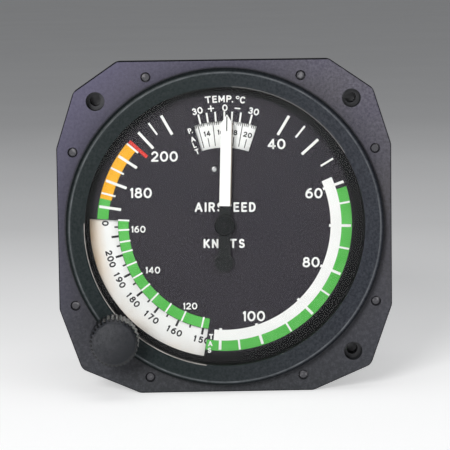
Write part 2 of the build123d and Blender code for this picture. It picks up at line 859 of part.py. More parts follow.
seal_ring_radius = knob_shaft_radius + running_clearance + seal_section_radius
seal_depth = (bush_length - ring_height + flange_thickness) / 2
with BuildPart() as knob_seal:
    with BuildSketch(Plane(origin=(knob_x, 0, knob_z), x_dir=(1, 0, 0), z_dir=(0, 0, 1))):
        with Locations((seal_ring_radius, seal_depth)):
            Circle(seal_section_radius)
    revolve(axis=knob_axis)
knob_seal.part.label = "knob_seal"
export_step(knob_seal.part, "parts/knob_seal.step")

with BuildPart() as seal_washer:
    with BuildSketch(across_at(knob_x, flange_thickness, knob_z)):
        Circle(seal_washer_radius)
        Circle(knob_shaft_radius + running_clearance, mode=Mode.SUBTRACT)
    extrude(amount=-seal_washer_thickness)
seal_washer.part.label = "seal_washer"
export_step(seal_washer.part, "parts/seal_washer.step")

# Clip that keeps the knob shaft in, and the pinion that turns the scale
with BuildPart() as knob_clip:
    with BuildSketch(across_at(knob_x, flange_thickness + seal_washer_thickness + clip_gap, knob_z)):
        Circle(clip_radius)
        Circle(knob_shaft_radius, mode=Mode.SUBTRACT)
    extrude(amount=-clip_thickness)
knob_clip.part.label = "knob_clip"
export_step(knob_clip.part, "parts/knob_clip.step")

# A space between its teeth faces the ring gear's centre
with BuildPart() as knob_pinion:
    with BuildSketch(across_at(knob_x, ring_gear_depth, knob_z)):
        pinion_turn = knob_angle + 180 + 180 / knob_teeth
        add(gear_face(knob_teeth, gear_module, pinion_turn, pinion_root_share, pinion_tip_share))
        Circle(knob_shaft_radius, mode=Mode.SUBTRACT)
    extrude(amount=-pinion_thickness)
knob_pinion.part.label = "knob_pinion"
export_step(knob_pinion.part, "parts/knob_pinion.step")

# Mechanism frame: two plates held apart by three pillars
with BuildPart() as front_plate:
    with BuildSketch(across(front_plate_depth)):
        Circle(front_plate_radius)
        Circle(bearing_radius, mode=Mode.SUBTRACT)
        with Locations((-rocking_distance, 0)):
            Circle(rocking_bearing_radius, mode=Mode.SUBTRACT)
        with Locations(*pillar_places):
            Circle(pillar_screw_radius + thread_clearance, mode=Mode.SUBTRACT)
        with Locations(*plate_window_places):
            Circle(plate_window_radius, mode=Mode.SUBTRACT)
    extrude(amount=-plate_thickness)
front_plate.part.label = "front_plate"
export_step(front_plate.part, "parts/front_plate.step")

with BuildPart() as rear_plate:
    with BuildSketch(across(rear_plate_depth)):
        Circle(rear_plate_radius)
        Circle(bearing_radius, mode=Mode.SUBTRACT)
        with Locations((-rocking_distance, 0)):
            Circle(rocking_bearing_radius, mode=Mode.SUBTRACT)
        with Locations(*pillar_places):
            Circle(pillar_screw_radius + thread_clearance, mode=Mode.SUBTRACT)
        with Locations(*plate_window_places):
            Circle(plate_window_radius, mode=Mode.SUBTRACT)
        with Locations((-port_x, port_z)):
            Circle(tube_radius + tube_plate_gap, mode=Mode.SUBTRACT)
        with Locations(*bracket_screw_places):
            Circle(bracket_screw_radius + thread_clearance, mode=Mode.SUBTRACT)
    extrude(amount=-plate_thickness)
rear_plate.part.label = "rear_plate"
export_step(rear_plate.part, "parts/rear_plate.step")

with BuildPart() as plate_pillars:
    with BuildSketch(across(front_plate_rear_depth)):
        with Locations(*pillar_places):
            Circle(pillar_radius)
    extrude(amount=front_plate_rear_depth - rear_plate_depth)
    with BuildSketch(across(front_plate_rear_depth)):
        with Locations(*pillar_places):
            Circle(pillar_screw_radius + thread_clearance)
    extrude(amount=-pillar_thread_depth, mode=Mode.SUBTRACT)
    with BuildSketch(across(rear_plate_depth)):
        with Locations(*pillar_places):
            Circle(pillar_screw_radius + thread_clearance)
    extrude(amount=pillar_thread_depth, mode=Mode.SUBTRACT)
plate_pillars.part.label = "plate_pillars"
export_step(plate_pillars.part, "parts/plate_pillars.step")

with BuildPart() as front_plate_screws:
    with BuildSketch(across(front_plate_depth)):
        with Locations(*pillar_places):
            Circle(pillar_screw_radius)
    extrude(amount=-plate_thickness - pillar_thread_depth)
    with BuildSketch(across(front_plate_depth)):
        with Locations(*pillar_places):
            Circle(pillar_screw_head_radius)
    extrude(amount=pillar_screw_head_height)
front_plate_screws.part.label = "front_plate_screws"
export_step(front_plate_screws.part, "parts/front_plate_screws.step")

# Screws through the case's rear wall into the pillars; their heads lie flush with the wall
with BuildPart() as case_screws:
    with BuildSketch(across(case_rear_depth)):
        with Locations(*pillar_places):
            Circle(pillar_screw_head_radius)
    extrude(amount=pillar_screw_head_height)
    with BuildSketch(across(case_rear_depth)):
        with Locations(*pillar_places):
            Rectangle(2 * pillar_screw_head_radius, pillar_screw_slot_width)
    extrude(amount=pillar_screw_slot_depth, mode=Mode.SUBTRACT)
    with BuildSketch(across(case_rear_depth - pillar_screw_head_height)):
        with Locations(*pillar_places):
            Circle(pillar_screw_radius)
    extrude(amount=case_rear_depth - pillar_screw_head_height - rear_plate_depth + pillar_thread_depth)
case_screws.part.label = "case_screws"
export_step(case_screws.part, "parts/case_screws.step")

# Bearings of the pointer staff and of the rocking shaft, one in each plate
with BuildPart() as staff_bearings:
    for depth in (front_plate_depth, rear_plate_depth):
        with BuildSketch(across(depth)):
            Circle(bearing_radius)
            Circle(staff_radius + bearing_clearance, mode=Mode.SUBTRACT)
        extrude(amount=-plate_thickness)
staff_bearings.part.label = "staff_bearings"
export_step(staff_bearings.part, "parts/staff_bearings.step")

with BuildPart() as rocking_bearings:
    for depth in (front_plate_depth, rear_plate_depth):
        with BuildSketch(across_at(-rocking_distance, depth, 0)):
            Circle(rocking_bearing_radius)
            Circle(rocking_shaft_radius + bearing_clearance, mode=Mode.SUBTRACT)
        extrude(amount=-plate_thickness)
rocking_bearings.part.label = "rocking_bearings"
export_step(rocking_bearings.part, "parts/rocking_bearings.step")

# Pointer: a baton with a pointed end and a round counterweight on a short neck
baton_top = pointer_length - pointer_tip_length
with BuildPart() as pointer:
    with BuildSketch(across_at(0, pointer_depth, 0, pointer_angle)):
        with BuildLine():
            Polyline(
                (-pointer_half_width, 0),
                (-pointer_half_width, baton_top),
                (0, pointer_length),
                (pointer_half_width, baton_top),
                (pointer_half_width, 0),
                close=True,
            )
        make_face()
        Circle(pointer_hub_radius)
        with Locations((0, -counterweight_distance / 2)):
            Rectangle(2 * pointer_neck_half_width, counterweight_distance)
        with Locations((0, -counterweight_distance)):
            Circle(counterweight_radius)
        Circle(hub_boss_radius, mode=Mode.SUBTRACT)
    extrude(amount=-pointer_thickness)
pointer.part.label = "pointer"
export_step(pointer.part, "parts/pointer.step")

with BuildPart() as pointer_hub:
    with BuildSketch(across(pointer_depth)):
        Circle(pointer_hub_radius)
    extrude(amount=hub_flange_thickness)
    fillet(pointer_hub.faces().sort_by(Axis.Y)[0].edges(), radius=hub_flange_thickness / 2)
    with BuildSketch(across(pointer_depth)):
        Circle(hub_boss_radius)
    extrude(amount=-hub_boss_length)
    with BuildSketch(across(pointer_depth - hub_flange_thickness)):
        Circle(staff_radius)
    extrude(amount=-hub_flange_thickness - hub_boss_length, mode=Mode.SUBTRACT)
pointer_hub.part.label = "pointer_hub"
export_step(pointer_hub.part, "parts/pointer_hub.step")

staff_front_depth = pointer_depth - hub_flange_thickness - staff_rise
with BuildPart() as pointer_staff:
    with BuildSketch(across(staff_front_depth)):
        Circle(staff_radius)
    extrude(amount=staff_front_depth - rear_plate_rear_depth)
pointer_staff.part.label = "pointer_staff"
export_step(pointer_staff.part, "parts/pointer_staff.step")

# Staff pinion: a space between its teeth faces the rocking shaft
with BuildPart() as staff_pinion:
    with BuildSketch(across(sector_depth - (staff_pinion_thickness - sector_thickness) / 2)):
        pinion_turn = 180 + 180 / staff_teeth
        add(gear_face(staff_teeth, staff_module, pinion_turn, pinion_root_share, pinion_tip_share))
        Circle(staff_radius, mode=Mode.SUBTRACT)
    extrude(amount=-staff_pinion_thickness)
staff_pinion.part.label = "staff_pinion"
export_step(staff_pinion.part, "parts/staff_pinion.step")

# Sector gear on the rocking shaft, with an open window between its two arms
tooth_step = 360 / sector_teeth
sector_root_radius = staff_module * (sector_teeth / 2 - tooth_dedendum)
sector_start = quarter_turn - (sector_upper_teeth + 0.5) * tooth_step
sector_end = quarter_turn + (sector_lower_teeth + 0.5) * tooth_step
sector_middle = (sector_start + sector_end) / 2
with BuildPart() as sector_gear:
    with BuildSketch(across_at(-rocking_distance, sector_depth, 0)):
        with BuildLine():
            Polyline(
                *tooth_points(
                    sector_teeth,
                    staff_module,
                    -sector_lower_teeth,
                    sector_upper_teeth,
                    0,
                    wheel_root_share,
                    wheel_tip_share,
                ),
                close=True,
            )
        make_face()
        add(dial_sector(sector_hub_radius / 2, sector_root_radius, sector_start, sector_end))
        add(
            dial_sector(
                sector_hub_radius + sector_rim,
                sector_root_radius - sector_rim,
                sector_start + sector_arm_angle,
                sector_end - sector_arm_angle,
            ),
            mode=Mode.SUBTRACT,
        )
        Circle(sector_hub_radius)
    with BuildSketch(across_at(-rocking_distance, sector_depth, 0, sector_middle)):
        with Locations((0, -sector_tail_length / 2)):
            Rectangle(sector_hub_radius, sector_tail_length)
        with Locations((0, -sector_tail_length)):
            Circle(sector_tail_radius)
    extrude(amount=-sector_thickness)
    with BuildSketch(across_at(-rocking_distance, sector_depth, 0)):
        Circle(rocking_shaft_radius)
    extrude(amount=-sector_thickness, mode=Mode.SUBTRACT)
sector_gear.part.label = "sector_gear"
export_step(sector_gear.part, "parts/sector_gear.step")

with BuildPart() as sector_weight:
    with BuildSketch(across_at(-rocking_distance, sector_depth + sector_thickness, 0, sector_middle)):
        with Locations((0, -sector_tail_length)):
            Circle(sector_tail_radius)
    extrude(amount=-weight_thickness)
sector_weight.part.label = "sector_weight"
export_step(sector_weight.part, "parts/sector_weight.step")

with BuildPart() as rocking_shaft:
    with BuildSketch(across_at(-rocking_distance, front_plate_depth, 0)):
        Circle(rocking_shaft_radius)
    extrude(amount=front_plate_depth - rear_plate_rear_depth)
rocking_shaft.part.label = "rocking_shaft"
export_step(rocking_shaft.part, "parts/rocking_shaft.step")

# Lever on the rocking shaft; its pin rides in the slot of the capsule's fork
with BuildPart() as rocker_lever:
    with BuildSketch(across_at(-rocking_distance, lever_depth, 0, sector_swing / 2)):
        Circle(lever_hub_radius)
        with Locations((lever_arm / 2, 0)):
            Rectangle(lever_arm, 2 * lever_half_width)
        with Locations((lever_arm, 0)):
            Circle(lever_half_width)
        Circle(rocking_shaft_radius, mode=Mode.SUBTRACT)
    extrude(amount=-lever_thickness)
    with BuildSketch(across_at(rest_pin_x, lever_depth, rest_pin_z)):
        Circle(lever_pin_radius)
    extrude(amount=-lever_thickness - fork_thickness - 2 * lever_pin_gap)
rocker_lever.part.label = "rocker_lever"
export_step(rocker_lever.part, "parts/rocker_lever.step")

# Capsule: two corrugated sheets joined at the rim; the upper one rises with pressure
with BuildPart() as capsule_base:
    with BuildSketch(capsule_plane):
        with BuildLine():
            Polyline(*sheet_points(-1), close=True)
        make_face()
    revolve(axis=capsule_axis)
    with BuildSketch(Plane.XY.offset(capsule_rim_z - capsule_half_height)):
        with Locations((capsule_x, capsule_depth)):
            Circle(capsule_boss_radius)
    extrude(amount=bracket_shelf_z - capsule_rim_z + capsule_half_height)
    with BuildSketch(Plane.XY.offset(bracket_shelf_z)):
        with Locations((capsule_x, capsule_depth)):
            Circle(capsule_stud_radius)
    extrude(amount=-bracket_thickness - capsule_nut_thickness)
capsule_base.part.label = "capsule_base"
export_step(capsule_base.part, "parts/capsule_base.step")

with BuildPart() as capsule_diaphragm:
    with BuildSketch(capsule_plane):
        with BuildLine():
            Polyline(*sheet_points(1), close=True)
        make_face()
    revolve(axis=capsule_axis)
capsule_diaphragm.part.label = "capsule_diaphragm"
export_step(capsule_diaphragm.part, "parts/capsule_diaphragm.step")

# Fork on top of the capsule
fork_foot_z = capsule_rim_z + capsule_half_height
with BuildPart() as capsule_fork:
    with BuildSketch(across(fork_depth)):
        with Locations((capsule_x, (fork_foot_z + rest_pin_z + fork_top_rise) / 2)):
            Rectangle(2 * fork_half_width, rest_pin_z + fork_top_rise - fork_foot_z)
        with Locations(((rest_pin_x + capsule_x) / 2, rest_pin_z)):
            Rectangle(
                capsule_x - rest_pin_x + 2 * (lever_pin_radius + lever_pin_gap),
                2 * (lever_pin_radius + lever_pin_gap),
                mode=Mode.SUBTRACT,
            )
    extrude(amount=-fork_thickness)
capsule_fork.part.label = "capsule_fork"
export_step(capsule_fork.part, "parts/capsule_fork.step")

# Bracket that carries the capsule on the rear plate
with BuildPart() as capsule_bracket:
    with BuildSketch(Plane.XY.offset(bracket_shelf_z)):
        with Locations((capsule_x, (bracket_front_depth + rear_plate_depth) / 2)):
            Rectangle(2 * bracket_half_width, rear_plate_depth - bracket_front_depth)
        with Locations((capsule_x, capsule_depth)):
            Circle(capsule_stud_radius, mode=Mode.SUBTRACT)
    extrude(amount=-bracket_thickness)
    with BuildSketch(across(rear_plate_depth)):
        with Locations((capsule_x, (bracket_tab_top_z + bracket_shelf_z - bracket_thickness) / 2)):
            Rectangle(2 * bracket_half_width, bracket_tab_top_z - bracket_shelf_z + bracket_thickness)
    extrude(amount=bracket_thickness)
    with BuildSketch(across(rear_plate_depth)):
        with Locations(*bracket_screw_places):
            Circle(bracket_screw_radius + thread_clearance)
    extrude(amount=bracket_thickness, mode=Mode.SUBTRACT)
capsule_bracket.part.label = "capsule_bracket"
export_step(capsule_bracket.part, "parts/capsule_bracket.step")

with BuildPart() as capsule_nut:
    with BuildSketch(Plane.XY.offset(bracket_shelf_z - bracket_thickness)):
        with Locations((capsule_x, capsule_depth)):
            RegularPolygon(capsule_nut_radius, 6)
            Circle(capsule_stud_radius, mode=Mode.SUBTRACT)
    extrude(amount=-capsule_nut_thickness)
capsule_nut.part.label = "capsule_nut"
export_step(capsule_nut.part, "parts/capsule_nut.step")

with BuildPart() as bracket_screws:
    with BuildSketch(across(rear_plate_rear_depth)):
        with Locations(*bracket_screw_places):
            Circle(bracket_screw_radius)
    extrude(amount=plate_thickness + bracket_thickness)
    with BuildSketch(across(rear_plate_rear_depth)):
        with Locations(*bracket_screw_places):
            Circle(bracket_screw_head_radius)
    extrude(amount=-bracket_screw_head_height)
bracket_screws.part.label = "bracket_screws"
export_step(bracket_screws.part, "parts/bracket_screws.step")

# Pitot line from the capsule's stud to the left port
tube_top_z = bracket_shelf_z - bracket_thickness - capsule_nut_thickness
with BuildPart() as pitot_line:
    with BuildLine():
        FilletPolyline(
            (capsule_x, capsule_depth, tube_top_z),
            (capsule_x, capsule_depth, port_z),
            (capsule_x, port_inner_depth + tube_insertion, port_z),
            radius=tube_bend_radius,
        )
    tube_start = Plane(origin=(capsule_x, capsule_depth, tube_top_z), x_dir=(1, 0, 0), z_dir=(0, 0, -1))
    with BuildSketch(tube_start):
        Circle(tube_radius)
        Circle(tube_bore_radius, mode=Mode.SUBTRACT)
    sweep()
pitot_line.part.label = "pitot_line"
export_step(pitot_line.part, "parts/pitot_line.step")

# Hairspring with its collet on the staff and its stud on the rear plate
with BuildPart() as hairspring_collet:
    with BuildSketch(across(hairspring_depth - (collet_length - hairspring_width) / 2)):
        Circle(collet_radius)
        Circle(staff_radius, mode=Mode.SUBTRACT)
    extrude(amount=-collet_length)
hairspring_collet.part.label = "hairspring_collet"
export_step(hairspring_collet.part, "parts/hairspring_collet.step")

with BuildPart() as hairspring:
    with BuildSketch(across(hairspring_depth)):
        with BuildLine():
            Polyline(
                *spiral_points(hairspring_sheet / 2),
                *reversed(spiral_points(-hairspring_sheet / 2)),
                close=True,
            )
        make_face()
    extrude(amount=-hairspring_width)
hairspring.part.label = "hairspring"
export_step(hairspring.part, "parts/hairspring.step")

with BuildPart() as hairspring_stud:
    with BuildSketch(across(hairspring_depth)):
        with Locations((hairspring_outer_radius + hairspring_sheet + stud_radius, 0)):
            Circle(stud_radius)
    extrude(amount=hairspring_depth - rear_plate_depth)
hairspring_stud.part.label = "hairspring_stud"
export_step(hairspring_stud.part, "parts/hairspring_stud.step")
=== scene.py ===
from math import atan2, cos, hypot, log, pi, radians, sin

import bpy
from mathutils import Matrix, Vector


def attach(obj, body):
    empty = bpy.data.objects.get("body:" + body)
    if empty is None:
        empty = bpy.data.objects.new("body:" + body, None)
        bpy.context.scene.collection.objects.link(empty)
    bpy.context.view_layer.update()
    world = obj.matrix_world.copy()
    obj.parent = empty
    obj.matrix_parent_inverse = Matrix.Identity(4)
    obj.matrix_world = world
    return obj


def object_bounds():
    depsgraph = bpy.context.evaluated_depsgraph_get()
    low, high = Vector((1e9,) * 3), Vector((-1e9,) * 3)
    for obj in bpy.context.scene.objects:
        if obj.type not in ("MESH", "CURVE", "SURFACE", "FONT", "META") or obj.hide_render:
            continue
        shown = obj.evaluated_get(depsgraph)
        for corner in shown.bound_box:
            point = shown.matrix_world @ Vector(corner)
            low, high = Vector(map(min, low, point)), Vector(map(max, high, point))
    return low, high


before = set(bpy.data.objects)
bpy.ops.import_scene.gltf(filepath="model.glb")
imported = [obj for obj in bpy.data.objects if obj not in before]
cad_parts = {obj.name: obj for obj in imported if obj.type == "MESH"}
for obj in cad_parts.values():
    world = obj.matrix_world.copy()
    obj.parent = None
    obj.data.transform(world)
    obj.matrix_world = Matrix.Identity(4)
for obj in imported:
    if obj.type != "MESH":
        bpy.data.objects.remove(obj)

CAD_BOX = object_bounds()
MM = 0.001

# Sizes are in millimetres, and angles in degrees clockwise from the top of the case.
# Faces that carry print, by their place along Y, and the build-up of the print on them
DIAL_FACE = 4.8
SCALE_FACE = 6.0
POINTER_FACE = 3.2
PRINT_LIFT = 0.02
PRINT_STEP = 0.001
PRINT_LEVELS = 6
BAND_FACE = DIAL_FACE + PRINT_LIFT - 0.008
ART_TURN = 0.76

# Bezel: the flange's outline, its mounting holes, and the circles of the raised ring
FLANGE_HALF = 41.2
RIM_WIDTH = 0.22
UPPER_CORNER = (36.8, 33.8)
LOWER_CORNER = (35.9, -35.0)
CORNER_CUTS = (
    ((FLANGE_HALF, 20.0), UPPER_CORNER), (UPPER_CORNER, (26.0, FLANGE_HALF)),
    ((FLANGE_HALF, -20.0), LOWER_CORNER), (LOWER_CORNER, (21.5, -FLANGE_HALF)),
)
MOUNT_OFFSET = 31.435
MOUNT_AXES = ((-MOUNT_OFFSET, MOUNT_OFFSET), (MOUNT_OFFSET, MOUNT_OFFSET), (MOUNT_OFFSET, -MOUNT_OFFSET))
MOUNT_BORE_RADIUS = 2.32
RING_FOOT_RADIUS = 39.4
RING_RADIUS = 39.28
SLOPE_RADIUS = 38.62
CREST_RADIUS = 38.25
LIP_RADIUS = 35.1
LIP_EDGE_RADIUS = 34.66

# Knob and pointer
KNOB_AXIS = (-27.62, -26.67)
KNOB_SERRATIONS = 34
KNOB_GROOVE_RADIUS = 5.35
KNOB_RIM_RADIUS = 5.2
POINTER_ANGLE = 1.9
POINTER_WHITE_START = 4.85
POINTER_SHADED_EDGE = 1.2

# Dial and scale: painted shade at their edges, from the radius where the shade starts to where it is full
DIAL_SHADE_CENTRE = (-0.55, 0.25)
DIAL_EDGE_SHADE = (31.9, 33.1)
SCALE_EDGE_SHADE = (29.6, 33.4)


# Lettering: each glyph is a width and its strokes, in units of the cap height
def arc(x, y, rx, ry, start, end, steps=16):
    """Points along an elliptical arc, angles in degrees anticlockwise from the right."""
    points = []
    for step in range(steps + 1):
        angle = radians(start + (end - start) * step / steps)
        points.append((x + rx * cos(angle), y + ry * sin(angle)))
    return points


SIX = [arc(0.33, 0.31, 0.33, 0.31, 180, 540, 22), arc(0.58, 0.31, 0.58, 0.69, 96, 180, 10)]
GLYPHS = {
    "0": (0.74, [arc(0.37, 0.5, 0.37, 0.5, 90, 450, 28)]),
    "1": (0.16, [[(0.15, 0), (0.15, 1)], [(0.15, 1), (0.0, 0.84)]]),
    "2": (0.66, [arc(0.33, 0.7, 0.3, 0.3, 165, -28), [(0.595, 0.56), (0, 0)], [(0, 0), (0.66, 0)]]),
    "3": (0.58, [arc(0.28, 0.765, 0.24, 0.235, 152, -90), arc(0.28, 0.265, 0.3, 0.265, 90, -150)]),
    "4": (0.74, [[(0.54, 0), (0.54, 1)], [(0.54, 1), (0, 0.26)], [(0, 0.26), (0.74, 0.26)]]),
    "5": (0.58, [[(0.53, 1), (0.12, 1)], [(0.12, 1), (0.06, 0.55)],
                 arc(0.28, 0.32, 0.3, 0.32, 132, -145)]),
    "6": (0.66, SIX),
    "7": (0.56, [[(0, 1), (0.56, 1)], [(0.56, 1), (0.18, 0)]]),
    "8": (0.66, [arc(0.33, 0.765, 0.26, 0.235, 90, 450, 20), arc(0.33, 0.27, 0.33, 0.27, 90, 450, 22)]),
    "9": (0.66, [[(0.66 - x, 1 - y) for x, y in stroke] for stroke in SIX]),
    "A": (0.78, [[(0, 0), (0.39, 1)], [(0.39, 1), (0.78, 0)], [(0.14, 0.32), (0.64, 0.32)]]),
    "C": (0.64, [arc(0.34, 0.5, 0.34, 0.5, 48, 312, 20)]),
    "D": (0.6, [[(0, 0), (0, 1)],
                [(0, 1), (0.26, 1)] + arc(0.26, 0.5, 0.34, 0.5, 88, -88) + [(0.26, 0), (0, 0)]]),
    "E": (0.5, [[(0, 0), (0, 1)], [(0, 1), (0.5, 1)], [(0, 0.52), (0.44, 0.52)], [(0, 0), (0.5, 0)]]),
    "I": (0.0, [[(0, 0), (0, 1)]]),
    "K": (0.6, [[(0, 0), (0, 1)], [(0.56, 1), (0, 0.36)], [(0.19, 0.57), (0.6, 0)]]),
    "L": (0.48, [[(0, 1), (0, 0)], [(0, 0), (0.48, 0)]]),
    "M": (0.74, [[(0, 0), (0, 1)], [(0, 1), (0.37, 0.24)], [(0.37, 0.24), (0.74, 1)],
                 [(0.74, 1), (0.74, 0)]]),
    "N": (0.62, [[(0, 0), (0, 1)], [(0, 1), (0.62, 0)], [(0.62, 0), (0.62, 1)]]),
    "O": (0.72, [arc(0.36, 0.5, 0.36, 0.5, 90, 450, 26)]),
    "P": (0.56, [[(0, 0), (0, 1)],
                 [(0, 1), (0.3, 1)] + arc(0.3, 0.74, 0.26, 0.26, 88, -88) + [(0.3, 0.48), (0, 0.48)]]),
    "R": (0.58, [[(0, 0), (0, 1)],
                 [(0, 1), (0.32, 1)] + arc(0.32, 0.75, 0.25, 0.25, 88, -88) + [(0.32, 0.5), (0, 0.5)],
                 [(0.3, 0.5), (0.58, 0)]]),
    "S": (0.56, [arc(0.28, 0.75, 0.25, 0.25, 32, 270) + arc(0.28, 0.25, 0.28, 0.25, 86, -148)]),
    "T": (0.72, [[(0, 1), (0.72, 1)], [(0.36, 1), (0.36, 0)]]),
    "+": (0.94, [[(0, 0.5), (0.94, 0.5)], [(0.47, 0.03), (0.47, 0.97)]]),
    "-": (0.84, [[(0, 0.5), (0.84, 0.5)]]),
    ".": (0.0, [[(0, 0), (0.01, 0)]]),
    "o": (0.4, [arc(0.2, 0.84, 0.2, 0.2, 90, 450, 18)]),
}


def polar(angle, radius):
    """The point on the dial at this angle and radius."""
    return Vector((radius * sin(radians(angle)), radius * cos(radians(angle))))


def writing_way(turn):
    """The direction in which text runs when it is turned clockwise by turn degrees."""
    return Vector((cos(radians(turn)), -sin(radians(turn))))


class Print:
    """Flat marks on a face square to the dial axis, gathered into one mesh."""

    MITRE_LIMIT = 0.5
    CAP_STEPS = 8

    def __init__(self, face):
        self.face = face
        self.points = []
        self.faces = []
        self.level = 0

    def raised(self):
        """The depth of the next mark; each lies a step over the last, so none overlap in depth."""
        self.level = (self.level + 1) % PRINT_LEVELS
        return self.face - PRINT_LIFT - PRINT_STEP * self.level

    def strip(self, left, right, closed=False):
        """A band between two rows of points; left lies to the left of the way along it."""
        depth = self.raised()
        first = len(self.points)
        for a, b in zip(left, right):
            self.points += [(a[0], depth, a[1]), (b[0], depth, b[1])]
        count = len(left)
        for step in range(count if closed else count - 1):
            here = first + 2 * step
            there = first + 2 * ((step + 1) % count)
            self.faces.append((here, here + 1, there + 1, there))

    def fan(self, points):
        """One flat polygon, its corners anticlockwise as read."""
        depth = self.raised()
        first = len(self.points)
        self.points += [(p[0], depth, p[1]) for p in points]
        self.faces.append(tuple(range(first, first + len(points))))

    def round_end(self, centre, edge, width):
        """Half a disc that ends a stroke, clockwise from the stroke's edge."""
        start = atan2(edge.y - centre.y, edge.x - centre.x)
        angles = [start - pi * step / self.CAP_STEPS for step in range(self.CAP_STEPS + 1)]
        self.fan([centre + Vector((cos(a), sin(a))) * width / 2 for a in reversed(angles)])

    def stroke(self, points, width, round_ends=True):
        """A line of even width along the points."""
        points = [Vector(p) for p in points]
        closed = len(points) > 3 and (points[0] - points[-1]).length < 1e-6
        if closed:
            points = points[:-1]
        count = len(points)
        left, right = [], []
        for step, point in enumerate(points):
            before = points[step - 1] if closed or step > 0 else point
            after = points[(step + 1) % count] if closed or step < count - 1 else point
            way_in = (point - before).normalized() if (point - before).length > 1e-9 else None
            way_out = (after - point).normalized() if (after - point).length > 1e-9 else None
            way_in = way_in or way_out or Vector((1, 0))
            way_out = way_out or way_in
            way = (way_in + way_out).normalized()
            side = Vector((-way.y, way.x))
            reach = width / 2 / max(self.MITRE_LIMIT, way.dot(way_in))
            left.append(point + side * reach)
            right.append(point - side * reach)
        if not closed and round_ends:
            self.round_end(points[0], right[0], width)
            self.round_end(points[-1], left[-1], width)
        self.strip(left, right, closed)

    def ring_band(self, inner, outer, start, end):
        """An annular band from angle start to end, in steps of about a degree."""
        count = max(2, int(end - start) + 1)
        angles = [start + (end - start) * k / count for k in range(count + 1)]
        self.strip([polar(a, outer) for a in angles], [polar(a, inner) for a in angles])

    def radial(self, angle, inner, outer, width):
        """A straight tick along the radius."""
        self.stroke([polar(angle, inner), polar(angle, outer)], width, round_ends=False)

    def glyph(self, sign, place, height, turn, weight, wide=1.0):
        """One character centred on place, turned clockwise by turn degrees; wide stretches it sideways."""
        width, strokes = GLYPHS[sign]
        scale = height - weight
        across, up = writing_way(turn), polar(turn, 1)
        for stroke in strokes:
            self.stroke([
                place + across * (x - width / 2) * scale * wide + up * (y - 0.5) * scale for x, y in stroke
            ], weight)

    def line_of_text(self, text, place, height, turn, weight, spacing):
        """Characters side by side along a straight line, centred on place."""
        scale = height - weight
        widths = [GLYPHS[sign][0] * scale + weight for sign in text]
        along = -(sum(widths) + spacing * (len(text) - 1)) / 2
        for sign, width in zip(text, widths):
            self.glyph(sign, place + writing_way(turn) * (along + width / 2), height, turn, weight)
            along += width + spacing

    def finish(self, name, body, material):
        """Makes the object, which rides on the body."""
        mesh = bpy.data.meshes.new(name)
        mesh.from_pydata([tuple(c * MM for c in p) for p in self.points], [], self.faces)
        mesh.update()
        obj = bpy.data.objects.new(name, mesh)
        bpy.context.scene.collection.objects.link(obj)
        mesh.materials.append(material)
        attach(obj, body)


